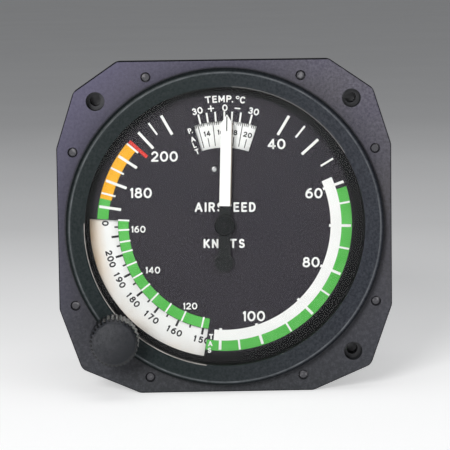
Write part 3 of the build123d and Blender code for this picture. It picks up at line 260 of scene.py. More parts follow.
# Materials
class Surface:
    """A node material with helpers that all work in the object's own metres.

    Each helper takes and gives node outputs; sizes are in millimetres and are the period of the pattern.
    """

    # Where a Mix node keeps its A, its B and its result for each kind of data
    MIX_SOCKETS = {"RGBA": (6, 7, 2), "VECTOR": (4, 5, 1)}

    def __init__(self, name, roughness=0.5, metallic=0.0, colour=(0.5, 0.5, 0.5), specular=0.5):
        self.material = bpy.data.materials.new(name)
        self.material.use_nodes = True
        self.tree = self.material.node_tree
        self.shader = self.tree.nodes["Principled BSDF"]
        self.shader.inputs["Roughness"].default_value = roughness
        self.shader.inputs["Metallic"].default_value = metallic
        self.shader.inputs["Specular IOR Level"].default_value = specular
        self.shader.inputs["Base Color"].default_value = (*colour, 1)
        self.material.diffuse_color = (*colour, 1)
        self.place = self.tree.nodes.new("ShaderNodeTexCoord").outputs["Object"]

    def link(self, out, to):
        """Feeds a node's output into a socket."""
        self.tree.links.new(out, to)

    def noise(self, size_mm, detail=3.0, rough=0.55, place=None):
        """Soft noise from 0 to 1, mostly between 0.3 and 0.7."""
        node = self.tree.nodes.new("ShaderNodeTexNoise")
        node.inputs["Scale"].default_value = 1 / (size_mm * MM)
        node.inputs["Detail"].default_value = detail
        node.inputs["Roughness"].default_value = rough
        self.link(place or self.place, node.inputs["Vector"])
        return node.outputs["Fac"]

    def cells(self, size_mm, smooth):
        """Distance to the nearest of scattered points, with the creases smoothed out."""
        node = self.tree.nodes.new("ShaderNodeTexVoronoi")
        node.feature = "SMOOTH_F1"
        node.inputs["Scale"].default_value = 1 / (size_mm * MM)
        node.inputs["Smoothness"].default_value = smooth
        self.link(self.place, node.inputs["Vector"])
        return node.outputs["Distance"]

    def stretched(self, x, y, z):
        """Coordinates for a pattern that is this much finer along each axis."""
        node = self.tree.nodes.new("ShaderNodeMapping")
        node.inputs["Scale"].default_value = (x, y, z)
        self.link(self.place, node.inputs["Vector"])
        return node.outputs["Vector"]

    def ramp(self, value, stops):
        """The colour for a value, between stops of a position and a colour."""
        node = self.tree.nodes.new("ShaderNodeValToRGB")
        ramp = node.color_ramp
        while len(ramp.elements) < len(stops):
            ramp.elements.new(0.5)
        for element, (position, colour) in zip(ramp.elements, stops):
            element.position = position
            element.color = (*colour, 1)
        self.link(value, node.inputs["Fac"])
        return node.outputs["Color"]

    def spread(self, value, low, high, start=0.3, end=0.7):
        """low where the value is at or below start, high at or above end, straight between."""
        node = self.tree.nodes.new("ShaderNodeMapRange")
        node.inputs["From Min"].default_value = start
        node.inputs["From Max"].default_value = end
        node.inputs["To Min"].default_value = low
        node.inputs["To Max"].default_value = high
        self.link(value, node.inputs["Value"])
        return node.outputs["Result"]

    def maths(self, kind, *values):
        """One Math node on numbers and outputs."""
        node = self.tree.nodes.new("ShaderNodeMath")
        node.operation = kind
        for socket, value in zip(node.inputs, values):
            if isinstance(value, (int, float)):
                socket.default_value = value
            else:
                self.link(value, socket)
        return node.outputs["Value"]

    def mixed(self, share, a, b, kind="RGBA"):
        """a where the share is 0 and b where it is 1; each is a colour or an output."""
        node = self.tree.nodes.new("ShaderNodeMix")
        node.data_type = kind
        first, second, result = self.MIX_SOCKETS[kind]
        self.link(share, node.inputs["Factor"])
        for socket, value in ((node.inputs[first], a), (node.inputs[second], b)):
            if isinstance(value, tuple):
                socket.default_value = (*value, 1)
            else:
                self.link(value, socket)
        return node.outputs[result]

    def axes(self):
        """X, Y and Z in metres."""
        node = self.tree.nodes.new("ShaderNodeSeparateXYZ")
        self.link(self.place, node.inputs["Vector"])
        return node.outputs["X"], node.outputs["Y"], node.outputs["Z"]

    def radius(self, x0=0.0, z0=0.0):
        """Distance in metres from an axis along Y through x0, z0."""
        x, _, z = self.axes()
        across = self.maths("SUBTRACT", x, x0 * MM)
        up = self.maths("SUBTRACT", z, z0 * MM)
        squares = self.maths("ADD", self.maths("MULTIPLY", across, across), self.maths("MULTIPLY", up, up))
        return self.maths("SQRT", squares)

    def bump(self, height, strength, distance_mm, over=None):
        """A normal with relief, on top of another normal where one is given."""
        node = self.tree.nodes.new("ShaderNodeBump")
        node.inputs["Strength"].default_value = strength
        node.inputs["Distance"].default_value = distance_mm * MM
        self.link(height, node.inputs["Height"])
        if over is not None:
            self.link(over, node.inputs["Normal"])
        return node.outputs["Normal"]

    def colour(self, out):
        """Feeds the shader's base colour."""
        self.link(out, self.shader.inputs["Base Color"])

    def rough(self, out):
        """Feeds the shader's roughness."""
        self.link(out, self.shader.inputs["Roughness"])

    def specular(self, out):
        """Feeds the shader's specular level."""
        self.link(out, self.shader.inputs["Specular IOR Level"])

    def normal(self, out):
        """Feeds the shader's normal."""
        self.link(out, self.shader.inputs["Normal"])


def flange_rim(s):
    """1 along the outline of the flange's face and on its sides, where shade is painted dark."""
    x, _, z = s.axes()
    aside = s.maths("ABSOLUTE", x)
    nearest = s.maths("MAXIMUM", aside, s.maths("ABSOLUTE", z))
    rim = s.maths("GREATER_THAN", nearest, (FLANGE_HALF - RIM_WIDTH) * MM)
    for (x0, z0), (x1, z1) in CORNER_CUTS:
        length = hypot(x1 - x0, z1 - z0)
        out_x, out_z = (z0 - z1) / length, (x1 - x0) / length
        if out_x < 0:
            out_x, out_z = -out_x, -out_z
        reach = (x0 * out_x + z0 * out_z - RIM_WIDTH) * MM
        beyond = s.maths("ADD", s.maths("MULTIPLY", aside, out_x), s.maths("MULTIPLY", z, out_z))
        rim = s.maths("MAXIMUM", rim, s.maths("GREATER_THAN", beyond, reach))
    return rim


def mount_bores(s):
    """1 inside the mounting holes."""
    bores = None
    for x0, z0 in MOUNT_AXES:
        bore = s.maths("LESS_THAN", s.radius(x0, z0), MOUNT_BORE_RADIUS * MM)
        bores = bore if bores is None else s.maths("MAXIMUM", bores, bore)
    return bores


def flange_colour(s, speckle, rim, bores):
    """Speckled paint with pale dust; a painted sheen to the upper left, and painted shade towards the bottom,
    near the ring, round the ring's foot and along the rim.
    """
    x, _, height = s.axes()
    radius = s.radius()
    tone = s.ramp(s.noise(26, 2.0, 0.5), [
        (0.3, (0.034, 0.029, 0.056)), (0.5, (0.042, 0.038, 0.052)), (0.7, (0.05, 0.043, 0.043)),
    ])
    flange = s.mixed(s.spread(speckle, 0.0, 1.0, 0.38, 0.7), tone, (0.125, 0.117, 0.145))
    # Darker towards the bottom: painted shade.
    flange = s.mixed(s.spread(height, 0.0, 1.0, -44 * MM, 30 * MM), (0.01, 0.0125, 0.015), flange)
    dust = s.spread(s.noise(1.1, 3.0, 0.85), 0.0, 0.3, 0.45, 0.66)
    flange = s.mixed(dust, flange, (0.1, 0.098, 0.115))
    # Lighter and bluer towards the upper left: a painted sheen.
    painted_upper_left_sheen = s.spread(s.maths("SUBTRACT", height, x), 0.0, 0.5, 10 * MM, 72 * MM)
    flange = s.mixed(painted_upper_left_sheen, flange, (0.07, 0.062, 0.135))
    # Darker near the ring, fading out towards the corners: painted shade.
    flange = s.mixed(s.spread(radius, 0.72, 1.0, 40 * MM, 48 * MM), (0.01, 0.01, 0.012), flange)
    # Dark along the outline and on the sides: painted shade.
    flange = s.mixed(rim, flange, (0.006, 0.006, 0.008))
    # A dark line round the ring's foot, broken up by noise: painted shade where the ring meets the flange.
    foot_shade_noise = s.spread(s.noise(1.3, 4.0, 0.7), 0.35, 0.9)
    foot = s.maths("COMPARE", radius, RING_FOOT_RADIUS * MM, 0.2 * MM)
    flange = s.mixed(s.maths("MULTIPLY", foot, foot_shade_noise), flange, (0.012, 0.012, 0.014))
    return s.mixed(bores, flange, (0.03, 0.0315, 0.035))


def ring_colour(s, slope, reflection_side):
    """Dark paint of the raised ring; painted light makes it lighter to the right, with a painted highlight on
    its crest and a painted reflection on parts of its lip, and painted shade darkens its bottom and its outer
    slope.
    """
    x, _, height = s.axes()
    radius = s.radius()
    # Lighter to the right, where the inner slope faces the light from the left: painted light.
    low = s.mixed(s.spread(x, 0.0, 1.0, -10 * MM, 30 * MM), (0.0095, 0.0155, 0.016), (0.0145, 0.0165, 0.0225))
    high = s.mixed(s.spread(x, 0.0, 1.0, -10 * MM, 30 * MM), (0.024, 0.031, 0.032), (0.039, 0.043, 0.053))
    ring = s.mixed(s.spread(s.noise(0.7, 4.0, 0.8), 0.0, 1.0, 0.38, 0.62), low, high)
    # A little darker towards the bottom: painted shade.
    ring = s.mixed(s.spread(height, 0.85, 1.0, -38 * MM, -12 * MM), (0.005, 0.0055, 0.006), ring)
    # The rubbed noise breaks up the pale band on the crest, which is a painted highlight, and the pale line
    # on the lip, which is a painted reflection.
    rubbed = s.spread(s.noise(3.5, 4.0, 0.65), 0.15, 0.8)
    crest = s.maths("COMPARE", radius, CREST_RADIUS * MM, 0.16 * MM)
    ring = s.mixed(s.maths("MULTIPLY", crest, rubbed), ring, (0.12, 0.127, 0.135))
    # Darker on the outer slope: painted shade.
    ring = s.mixed(s.maths("MULTIPLY", slope, 0.6), ring, (0.004, 0.004, 0.0045))
    # A pale line on the lip, lower left and faintly upper right: a painted reflection of the white scale.
    lip = s.maths("COMPARE", radius, LIP_EDGE_RADIUS * MM, 0.1 * MM)
    bare = s.maths("MULTIPLY", reflection_side, s.spread(rubbed, 0.45, 0.8, 0.3, 0.8))
    return s.mixed(s.maths("MULTIPLY", lip, bare), ring, (0.6, 0.56, 0.52))


def bezel_surface():
    """Crackle paint on the flange, smoother and glossier paint on the raised ring."""
    s = Surface("bezel_crackle_paint", roughness=0.62, colour=(0.09, 0.085, 0.1))
    x, _, height = s.axes()
    radius = s.radius()
    speckle = s.noise(0.75, 4.0, 0.75)
    rim = flange_rim(s)
    bores = mount_bores(s)
    in_ring = s.maths("LESS_THAN", radius, RING_RADIUS * MM)
    slope = s.maths("GREATER_THAN", radius, SLOPE_RADIUS * MM)
    # Where the lip carries its painted reflection and is glossier: lower left, and fainter upper right.
    lower_left = s.maths(
        "MULTIPLY", s.maths("LESS_THAN", x, -5 * MM), s.maths("LESS_THAN", height, 1.5 * MM))
    upper_right = s.maths(
        "MULTIPLY", s.maths("GREATER_THAN", x, 2 * MM), s.maths("GREATER_THAN", height, 18 * MM))
    reflection_side = s.maths("MAXIMUM", lower_left, s.maths("MULTIPLY", upper_right, 0.35))
    worn_lip = s.maths("MULTIPLY", s.maths("LESS_THAN", radius, LIP_RADIUS * MM), reflection_side)
    s.colour(s.mixed(in_ring, flange_colour(s, speckle, rim, bores), ring_colour(s, slope, reflection_side)))
    painted = s.maths("MULTIPLY_ADD", in_ring, -0.22, s.spread(speckle, 0.5, 0.8))
    s.rough(s.maths("MULTIPLY", painted, s.maths("MULTIPLY_ADD", worn_lip, -0.7, 1.0)))
    matt = s.maths("MAXIMUM", bores, s.maths("MAXIMUM", rim, s.maths("MULTIPLY", slope, in_ring)))
    gloss = s.maths("MULTIPLY_ADD", worn_lip, 0.25, s.maths("MULTIPLY_ADD", in_ring, -0.2, 0.38))
    s.specular(s.maths("MULTIPLY", gloss, s.maths("MULTIPLY_ADD", matt, -0.85, 1.0)))
    grain = s.bump(s.noise(0.22, 2.0, 0.6), 0.25, 0.02)
    relief = s.bump(s.cells(0.75, 0.6), 0.6, 0.1, grain)
    s.normal(s.mixed(in_ring, relief, grain, "VECTOR"))
    return s.material


def satin_black(name, low, high, rough_low=0.38, rough_high=0.6, specular=0.5, size=14):
    """Satin black paint with orange peel and faint rubbed places."""
    s = Surface(name, roughness=rough_low, colour=low, specular=specular)
    s.colour(s.mixed(s.spread(s.noise(size, 3.0), 0.0, 1.0), low, high))
    s.rough(s.spread(s.noise(6, 4.0), rough_low, rough_high))
    peel = s.bump(s.noise(1.1, 2.0, 0.5), 0.18, 0.05)
    s.normal(s.bump(s.noise(0.25, 2.0, 0.6), 0.12, 0.015, peel))
    return s.material


def metal(name, low, high, rough_low, rough_high, line=(1, 1, 1), size=0.5):
    """Machined metal: fine tool lines stretched one way, tone and gloss that vary."""
    s = Surface(name, roughness=rough_low, metallic=1.0, colour=low)
    lines = s.noise(size, 3.0, 0.6, s.stretched(*line))
    s.colour(s.mixed(s.spread(s.noise(5, 3.0), 0.0, 1.0), low, high))
    s.rough(s.spread(lines, rough_low, rough_high))
    s.normal(s.bump(lines, 0.15, 0.02))
    return s.material


def painted_screw():
    """Screw tips under worn paint: dark grey like the flange, with paler worn spots."""
    s = Surface("painted_screw_tip", roughness=0.35, colour=(0.07, 0.068, 0.078))
    bare = s.spread(s.noise(1.7, 3.0, 0.6), 0.0, 1.0, 0.5, 0.62)
    s.colour(s.mixed(bare, (0.04, 0.039, 0.046), (0.16, 0.155, 0.165)))
    s.rough(s.spread(bare, 0.5, 0.28, 0.0, 1.0))
    s.normal(s.bump(s.noise(0.4, 3.0, 0.6), 0.5, 0.05))
    return s.material


def threaded(name, low, high, pitch=0.5):
    """Turned metal with the lines of a screw thread along the depth."""
    s = Surface(name, roughness=0.35, metallic=1.0, colour=low)
    _, depth, _ = s.axes()
    thread = s.maths("SINE", s.maths("MULTIPLY", depth, 2 * pi / (pitch * MM)))
    s.colour(s.mixed(s.spread(thread, 0.0, 1.0, -0.9, 0.6), low, high))
    s.rough(s.spread(s.noise(1.5, 2.0), 0.3, 0.5))
    s.normal(s.bump(thread, 0.5, 0.08))
    return s.material


def rubber():
    """Matt black rubber of the gaskets and the seal."""
    s = Surface("sealing_rubber", roughness=0.8, colour=(0.02, 0.02, 0.021))
    s.colour(s.mixed(s.spread(s.noise(2, 3.0), 0.0, 1.0), (0.016, 0.016, 0.017), (0.034, 0.033, 0.034)))
    s.normal(s.bump(s.noise(0.3, 2.0), 0.3, 0.02))
    return s.material


def dial_black():
    """Matt dial paint: warm charcoal with a fine speckle, and painted shade at its edge under the ring."""
    s = Surface("dial_matt_black", roughness=0.88, colour=(0.05, 0.048, 0.056), specular=0.28)
    tone = s.ramp(s.noise(17, 2.0, 0.5), [(0.35, (0.005, 0.0045, 0.0065)), (0.62, (0.01, 0.008, 0.009))])
    fine = s.spread(s.noise(0.8, 3.0, 0.85), 0.1, 0.85, 0.4, 0.6)
    # Darker towards the edge, round a centre off the axis: painted shade under the ring.
    edge = s.spread(s.radius(*DIAL_SHADE_CENTRE), 0.0, 0.94, DIAL_EDGE_SHADE[0] * MM, DIAL_EDGE_SHADE[1] * MM)
    s.colour(s.mixed(edge, s.mixed(fine, tone, (0.051, 0.045, 0.058)), (0.003, 0.003, 0.0035)))
    s.normal(s.bump(s.noise(0.18, 2.0, 0.6), 0.2, 0.01))
    return s.material


def paint(name, low, high):
    """Silk-screened paint: its tone varies a little, and the coat is slightly uneven."""
    s = Surface(name, roughness=0.7, colour=low, specular=0.25)
    s.colour(s.mixed(s.spread(s.noise(3.0, 3.0), 0.0, 1.0), low, high))
    s.rough(s.spread(s.noise(1.2, 2.0), 0.62, 0.8))
    s.normal(s.bump(s.noise(0.2, 2.0, 0.6), 0.12, 0.008))
    return s.material


def scale_white():
    """White print of the turning scale, with a warm painted shade towards its rim."""
    s = Surface("scale_white_print", roughness=0.72, colour=(0.8, 0.79, 0.76))
    tone = s.mixed(s.spread(s.noise(4.5, 3.0), 0.0, 1.0), (0.9, 0.89, 0.88), (0.85, 0.84, 0.82))
    rim = s.spread(s.radius(), 0.0, 1.0, SCALE_EDGE_SHADE[0] * MM, SCALE_EDGE_SHADE[1] * MM)
    _, _, height = s.axes()
    # Strength of the painted shade at the rim: patchy, and stronger higher up.
    rim_shade_patch = s.maths(
        "ADD", s.spread(s.noise(7, 3.0), -0.1, 0.35), s.spread(height, 0.1, 0.85, -17 * MM, -6 * MM))
    s.colour(s.mixed(s.maths("MULTIPLY", rim, rim_shade_patch), tone, (0.66, 0.49, 0.33)))
    s.normal(s.bump(s.noise(0.2, 2.0, 0.6), 0.1, 0.008))
    return s.material


def pointer_surface():
    """White paint on the baton with painted shade along its right edge, and black on the neck and
    counterweight.
    """
    s = Surface("pointer_white_and_black", roughness=0.62, colour=(0.86, 0.85, 0.83), specular=0.2)
    x, _, z = s.axes()
    cosine, sine = cos(radians(POINTER_ANGLE)), sin(radians(POINTER_ANGLE))
    along = s.maths("ADD", s.maths("MULTIPLY", x, sine), s.maths("MULTIPLY", z, cosine))
    aside = s.maths("SUBTRACT", s.maths("MULTIPLY", x, cosine), s.maths("MULTIPLY", z, sine))
    white = s.mixed(s.spread(s.noise(3, 3.0), 0.0, 1.0), (0.9, 0.895, 0.88), (0.84, 0.83, 0.8))
    # A dark brown band along the right edge: painted shade.
    white = s.mixed(s.maths("GREATER_THAN", aside, POINTER_SHADED_EDGE * MM), white, (0.17, 0.13, 0.1))
    black = s.mixed(s.spread(s.noise(1.1, 3.0), 0.0, 1.0), (0.0015, 0.002, 0.0025), (0.016, 0.0175, 0.018))
    s.colour(s.mixed(s.maths("GREATER_THAN", along, POINTER_WHITE_START * MM), black, white))
    s.normal(s.bump(s.noise(0.3, 2.0, 0.6), 0.12, 0.01))
    return s.material


def knob_plastic():
    """Moulded dark grey plastic with a matt face and serrations polished by use, with painted shade to the
    lower right and in the grooves.
    """
    s = Surface("knob_moulded_plastic", roughness=0.6, colour=(0.02, 0.021, 0.024), specular=0.35)
    mottle = s.spread(s.noise(1.4, 5.0, 0.8), 0.0, 1.0, 0.36, 0.64)
    tone = s.mixed(mottle, (0.007, 0.009, 0.012), (0.044, 0.044, 0.05))
    x, _, z = s.axes()
    # Darker towards the lower right: painted shade.
    painted_light_share = s.spread(s.maths("SUBTRACT", z, x), 0.05, 1.0, -6 * MM, 5 * MM)
    tone = s.mixed(painted_light_share, (0.004, 0.0055, 0.008), tone)
    across, up = (s.maths("SUBTRACT", out, at * MM) for out, at in zip((x, z), KNOB_AXIS))
    # Dark in the serration grooves: painted shade.
    around = s.maths("MULTIPLY", s.maths("ARCTAN2", up, across), KNOB_SERRATIONS)
    groove_shade = s.maths("LESS_THAN", s.maths("COSINE", around), 0.1)
    radius = s.radius(*KNOB_AXIS)
    outer = s.maths("GREATER_THAN", radius, KNOB_GROOVE_RADIUS * MM)
    s.colour(s.mixed(s.maths("MULTIPLY", groove_shade, outer), tone, (0.002, 0.002, 0.0025)))
    rim = s.maths("GREATER_THAN", radius, KNOB_RIM_RADIUS * MM)
    s.rough(s.maths("MULTIPLY_ADD", rim, -0.28, s.spread(s.noise(1.4, 3.0), 0.55, 0.75)))
    s.normal(s.bump(s.noise(0.35, 3.0, 0.7), 0.4, 0.035))
    return s.material


def cover_glass():
    """Thin clear glass: light passes, and the faces reflect a little, more at a slant."""
    material = bpy.data.materials.new("cover_glass_clear")
    material.use_nodes = True
    tree = material.node_tree
    tree.nodes.clear()
    output = tree.nodes.new("ShaderNodeOutputMaterial")
    clear = tree.nodes.new("ShaderNodeBsdfTransparent")
    clear.inputs["Color"].default_value = (0.985, 0.99, 0.988, 1)
    gloss = tree.nodes.new("ShaderNodeBsdfGlossy")
    gloss.inputs["Roughness"].default_value = 0.02
    # The share that is reflected grows with the fifth power of the slant
    slant = tree.nodes.new("ShaderNodeLayerWeight")
    steep = tree.nodes.new("ShaderNodeMath")
    steep.operation = "POWER"
    steep.inputs[1].default_value = 5.0
    tree.links.new(slant.outputs["Facing"], steep.inputs[0])
    share = tree.nodes.new("ShaderNodeMath")
    share.operation = "MULTIPLY_ADD"
    share.inputs[1].default_value = 0.5
    share.inputs[2].default_value = 0.006
    tree.links.new(steep.outputs["Value"], share.inputs[0])
    # Faint smears on the gloss
    place = tree.nodes.new("ShaderNodeTexCoord")
    smear = tree.nodes.new("ShaderNodeTexNoise")
    smear.inputs["Scale"].default_value = 60
    smear.inputs["Detail"].default_value = 3
    tree.links.new(place.outputs["Object"], smear.inputs["Vector"])
    relief = tree.nodes.new("ShaderNodeBump")
    relief.inputs["Strength"].default_value = 0.02
    relief.inputs["Distance"].default_value = 0.02 * MM
    tree.links.new(smear.outputs["Fac"], relief.inputs["Height"])
    tree.links.new(relief.outputs["Normal"], gloss.inputs["Normal"])
    mix = tree.nodes.new("ShaderNodeMixShader")
    tree.links.new(share.outputs["Value"], mix.inputs["Fac"])
    tree.links.new(clear.outputs["BSDF"], mix.inputs[1])
    tree.links.new(gloss.outputs["BSDF"], mix.inputs[2])
    tree.links.new(mix.outputs["Shader"], output.inputs["Surface"])
    return material


MATERIALS = {
    "bezel": bezel_surface(),
    "case": satin_black("case_satin_black", (0.02, 0.02, 0.022), (0.027, 0.027, 0.029)),
    "spacer": satin_black("spacer_black", (0.005, 0.0055, 0.006), (0.011, 0.0115, 0.012), 0.5, 0.7, 0.2),
    "hub": satin_black(
        "hub_matt_black", (0.0015, 0.002, 0.0025), (0.0165, 0.0175, 0.0185), 0.6, 0.8, 0.08, 1.1),
    "steel": metal("turned_steel", (0.52, 0.52, 0.52), (0.62, 0.62, 0.61), 0.25, 0.42, (1, 4, 1), 0.6),
    "bright_steel": metal("bright_screw_steel", (0.4, 0.4, 0.41), (0.52, 0.52, 0.51), 0.3, 0.45),
    "dark_steel": metal("dark_screw_steel", (0.015, 0.015, 0.016), (0.04, 0.04, 0.042), 0.25, 0.5),
    "flange_screw": painted_screw(),
    "brass": metal("turned_brass", (0.62, 0.45, 0.2), (0.72, 0.54, 0.27), 0.25, 0.42, (1, 5, 1), 0.5),
    "thread_dark": threaded("blackened_thread", (0.03, 0.0305, 0.034), (0.075, 0.075, 0.078)),
    "aluminium": metal("milled_aluminium", (0.6, 0.6, 0.61), (0.7, 0.7, 0.7), 0.3, 0.5, (8, 1, 1), 0.8),
    "bronze": metal("beryllium_copper", (0.6, 0.4, 0.22), (0.7, 0.5, 0.3), 0.28, 0.45, (1, 1, 1), 1.2),
    "rubber": rubber(),
    "glass": cover_glass(),
    "dial": dial_black(),
    "scale": scale_white(),
    "pointer": pointer_surface(),
    "knob": knob_plastic(),
    "white_print": paint("dial_white_print", (0.86, 0.85, 0.83), (0.8, 0.79, 0.77)),
    "green_print": paint("dial_green_print", (0.078, 0.425, 0.065), (0.11, 0.47, 0.095)),
    "amber_print": paint("dial_amber_print", (0.84, 0.39, 0.012), (0.89, 0.45, 0.03)),
    "red_print": paint("dial_red_print", (0.58, 0.035, 0.028), (0.64, 0.05, 0.04)),
    "black_print": paint("scale_black_print", (0.018, 0.018, 0.02), (0.032, 0.03, 0.032)),
}
# Every node that isn't named here is turned steel
NODE_MATERIALS = {
    "bezel": "bezel", "bezel_screws": "flange_screw", "mounting_inserts": "thread_dark",
    "case_housing": "case", "case_gasket": "rubber", "glass_gasket": "rubber", "knob_seal": "rubber",
    "cover_glass": "glass", "glass_spacer": "spacer", "main_dial": "dial", "dial_screws": "bright_steel",
    "tas_scale": "scale", "pointer": "pointer", "pointer_hub": "hub", "pointer_staff": "dark_steel",
    "knob": "knob", "scale_carrier": "aluminium", "front_plate": "aluminium", "rear_plate": "aluminium",
    "plate_pillars": "aluminium", "carrier_posts": "aluminium", "capsule_bracket": "aluminium",
    "capsule_base": "bronze", "capsule_diaphragm": "bronze", "hairspring": "bronze",
    "pitot_line": "bronze", "knob_bush": "brass", "tas_ring_gear": "brass", "knob_pinion": "brass",
    "sector_gear": "brass", "sector_weight": "brass", "staff_bearings": "brass",
    "rocking_bearings": "brass", "hairspring_collet": "brass", "hairspring_stud": "brass",
    "capsule_nut": "brass", "capsule_fork": "brass", "rocker_lever": "brass",
}
for node_name, node_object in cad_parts.items():
    chosen = MATERIALS[NODE_MATERIALS.get(node_name, "steel")]
    if not node_object.data.materials:
        node_object.data.materials.append(chosen)
    for slot_index in range(len(node_object.material_slots)):
        node_object.material_slots[slot_index].material = chosen

# Dial: coloured bands, each with its arcs' inner and outer radius, start and end
BANDS = (
    ("dial_arc_white", "white_print", ((26.4, 29.1, 66.6, 186.2),)),
    ("dial_arc_green", "green_print", (
        (29.1, 31.7, 73.1, 189.5), (23.85, 26.4, 189.6, 273.5), (28.9, 31.65, 273.6, 283.1))),
    ("dial_arc_amber", "amber_print", ((28.7, 31.65, 283.1, 310.8),)),
)
for name, colour, arcs in BANDS:
    band = Print(BAND_FACE)
    for reach_and_angles in arcs:
        band.ring_band(*reach_and_angles)
    band.finish(name, "case", MATERIALS[colour])

# Ticks: the angle of each indicated airspeed in knots, and each kind's inner and outer radius and width
AIRSPEED_ANGLES = {
    40: 31.2, 45: 39.7, 50: 48.2, 55: 59.2, 60: 70.7, 65: 80.3, 70: 91.2, 75: 101.9, 80: 114.0,
    85: 124.9, 90: 136.3, 95: 148.8, 100: 163.1, 105: 173.8, 110: 182.9, 115: 193.3, 120: 204.8,
    125: 214.8, 130: 224.8, 135: 232.4, 140: 240.4, 145: 248.0, 150: 255.6, 155: 261.4, 160: 268.0,
    165: 273.5, 170: 279.3, 175: 285.6, 180: 291.5, 185: 297.7, 190: 304.0, 195: 310.8, 200: 318.0,
    205: 324.2, 210: 330.8,
}
WINDOW_SPEEDS = range(115, 166)
TEMPERATURE_ANGLES = (-12.6, -8.4, -4.05, 0.6, 4.6, 9.0, 14.6)
RED_LINE_ANGLE = 312.2
WINDOW_TICK = (23.7, 26.45, 0.42)
LONG_TICK = (26.0, 31.45, 0.68)
SHORT_TICK = (28.0, 31.6, 0.48)
TEMPERATURE_TICK = (25.8, 28.25, 0.43)
RED_LINE = (25.6, 31.5, 0.85)

ticks = Print(DIAL_FACE)
for speed, angle in AIRSPEED_ANGLES.items():
    if speed in WINDOW_SPEEDS:
        ticks.radial(angle, *WINDOW_TICK)
    elif speed % 10 == 0:
        ticks.radial(angle, *LONG_TICK)
    else:
        ticks.radial(angle, *SHORT_TICK)
for angle in TEMPERATURE_ANGLES:
    ticks.radial(angle, *TEMPERATURE_TICK)
ticks.finish("dial_ticks", "case", MATERIALS["white_print"])

red = Print(DIAL_FACE)
red.radial(RED_LINE_ANGLE, *RED_LINE)
red.finish("dial_red_line", "case", MATERIALS["red_print"])

# Legends: words and numerals by their centre's x and z, signs round the dial by angle and radius
LARGE, SMALL = 2.6, 1.7
NUMERAL_WEIGHT = 0.182
NUMERAL_GAP = 0.13
WORD_WEIGHT = 0.47
WORD_GAP = 0.5
NUMERALS = (
    ("40", 13.12, 19.98, LARGE), ("60", 22.31, 7.58, LARGE), ("80", 21.44, -9.68, LARGE),
    ("100", 7.02, -23.04, LARGE), ("180", -20.66, 8.3, LARGE), ("200", -14.69, 17.29, LARGE),
    ("120", -8.86, -20.24, SMALL), ("140", -18.01, -11.05, SMALL), ("160", -21.43, -0.76, SMALL),
)
WORDS = (("AIRSPEED", 0.2, 4.45, 2.4), ("KNOTS", -0.16, -4.65, 2.3))
TEMPERATURE_TITLE = (
    ("T", -6.75, 31.4), ("E", -3.75, 31.35), ("M", -0.6, 31.35), ("P", 2.7, 31.36), (".", 4.35, 31.37),
    ("o", 6.6, 31.32), ("C", 8.94, 31.4),
)
TEMPERATURE_MARKS = (("30", -12.6), ("+", -5.9), ("0", 0.9), ("-", 7.0), ("30", 15.1))
ALTITUDE_TITLE = (("P", -19.4, 24.95), (".", -18.3, 24.9), ("A", -19.45, 22.75), ("L", -19.75, 21.25),
                  ("T", -19.6, 19.5))
TAS_TITLE = (("T", 187.6, 28.3), ("A", 187.6, 30.05), ("S", 187.6, 31.75))

legends = Print(DIAL_FACE)
for text, x, z, height in NUMERALS:
    legends.line_of_text(
        text, Vector((x, z)), height, ART_TURN, height * NUMERAL_WEIGHT, height * NUMERAL_GAP)
for text, x, z, height in WORDS:
    legends.line_of_text(text, Vector((x, z)), height, ART_TURN, WORD_WEIGHT, WORD_GAP)
for sign, angle, radius in TEMPERATURE_TITLE:
    legends.glyph(sign, polar(angle, radius), 1.75, angle, 0.22 if sign == "o" else 0.37, 1.18)
for text, angle in TEMPERATURE_MARKS:
    legends.line_of_text(text, polar(angle, 29.15), 1.68, angle, 0.34, 0.2)
for sign, angle, radius in ALTITUDE_TITLE:
    legends.glyph(sign, polar(angle, radius), 1.35, angle, 0.27)
for sign, angle, radius in TAS_TITLE:
    legends.glyph(sign, polar(angle, radius), 1.35, ART_TURN, 0.32)
legends.finish("dial_legends", "case", MATERIALS["white_print"])

# Turning scale, outside: true airspeed in knots on a logarithmic spacing, digits with their heads inward
TAS_SPEEDS = range(100, 241, 5)
TAS_BASE = 150
TAS_BASE_ANGLE = 192.3
TAS_DEGREES_PER_E = 214.3
TAS_CROWDED = 200
TAS_SHORT_TICK = (26.2, 27.4, 0.42)
TAS_LONG_TICK = (26.2, 28.3, 0.56)
TAS_DIGIT_RADIUS = 29.65
TAS_DIGIT_STEP = 2.95

scale = Print(SCALE_FACE)
for speed in TAS_SPEEDS:
    angle = TAS_BASE_ANGLE + TAS_DEGREES_PER_E * log(speed / TAS_BASE)
    if speed % 10:
        scale.radial(angle, *TAS_SHORT_TICK)
        continue
    scale.radial(angle, *TAS_LONG_TICK)
    if speed > TAS_CROWDED and speed % 20:
        continue
    for place, digit in enumerate(str(speed)):
        at = angle + (1 - place) * TAS_DIGIT_STEP
        scale.glyph(digit, polar(at, TAS_DIGIT_RADIUS), 1.7, at + 180, 0.37)

# Turning scale, inside: pressure altitude in thousands of feet
ALTITUDE_TOP = 20
ALTITUDE_TOP_ANGLE = 15.2
ALTITUDE_STEP = 4.2
ALTITUDE_NUMBERED_TICK = (19.7, 21.9, 0.2)
ALTITUDE_LONG_TICK = (19.7, 25.8, 0.2)
ALTITUDE_SHORT_TICK = (24.9, 25.9, 0.16)
ALTITUDE_NUMBER_RADIUS = 23.05

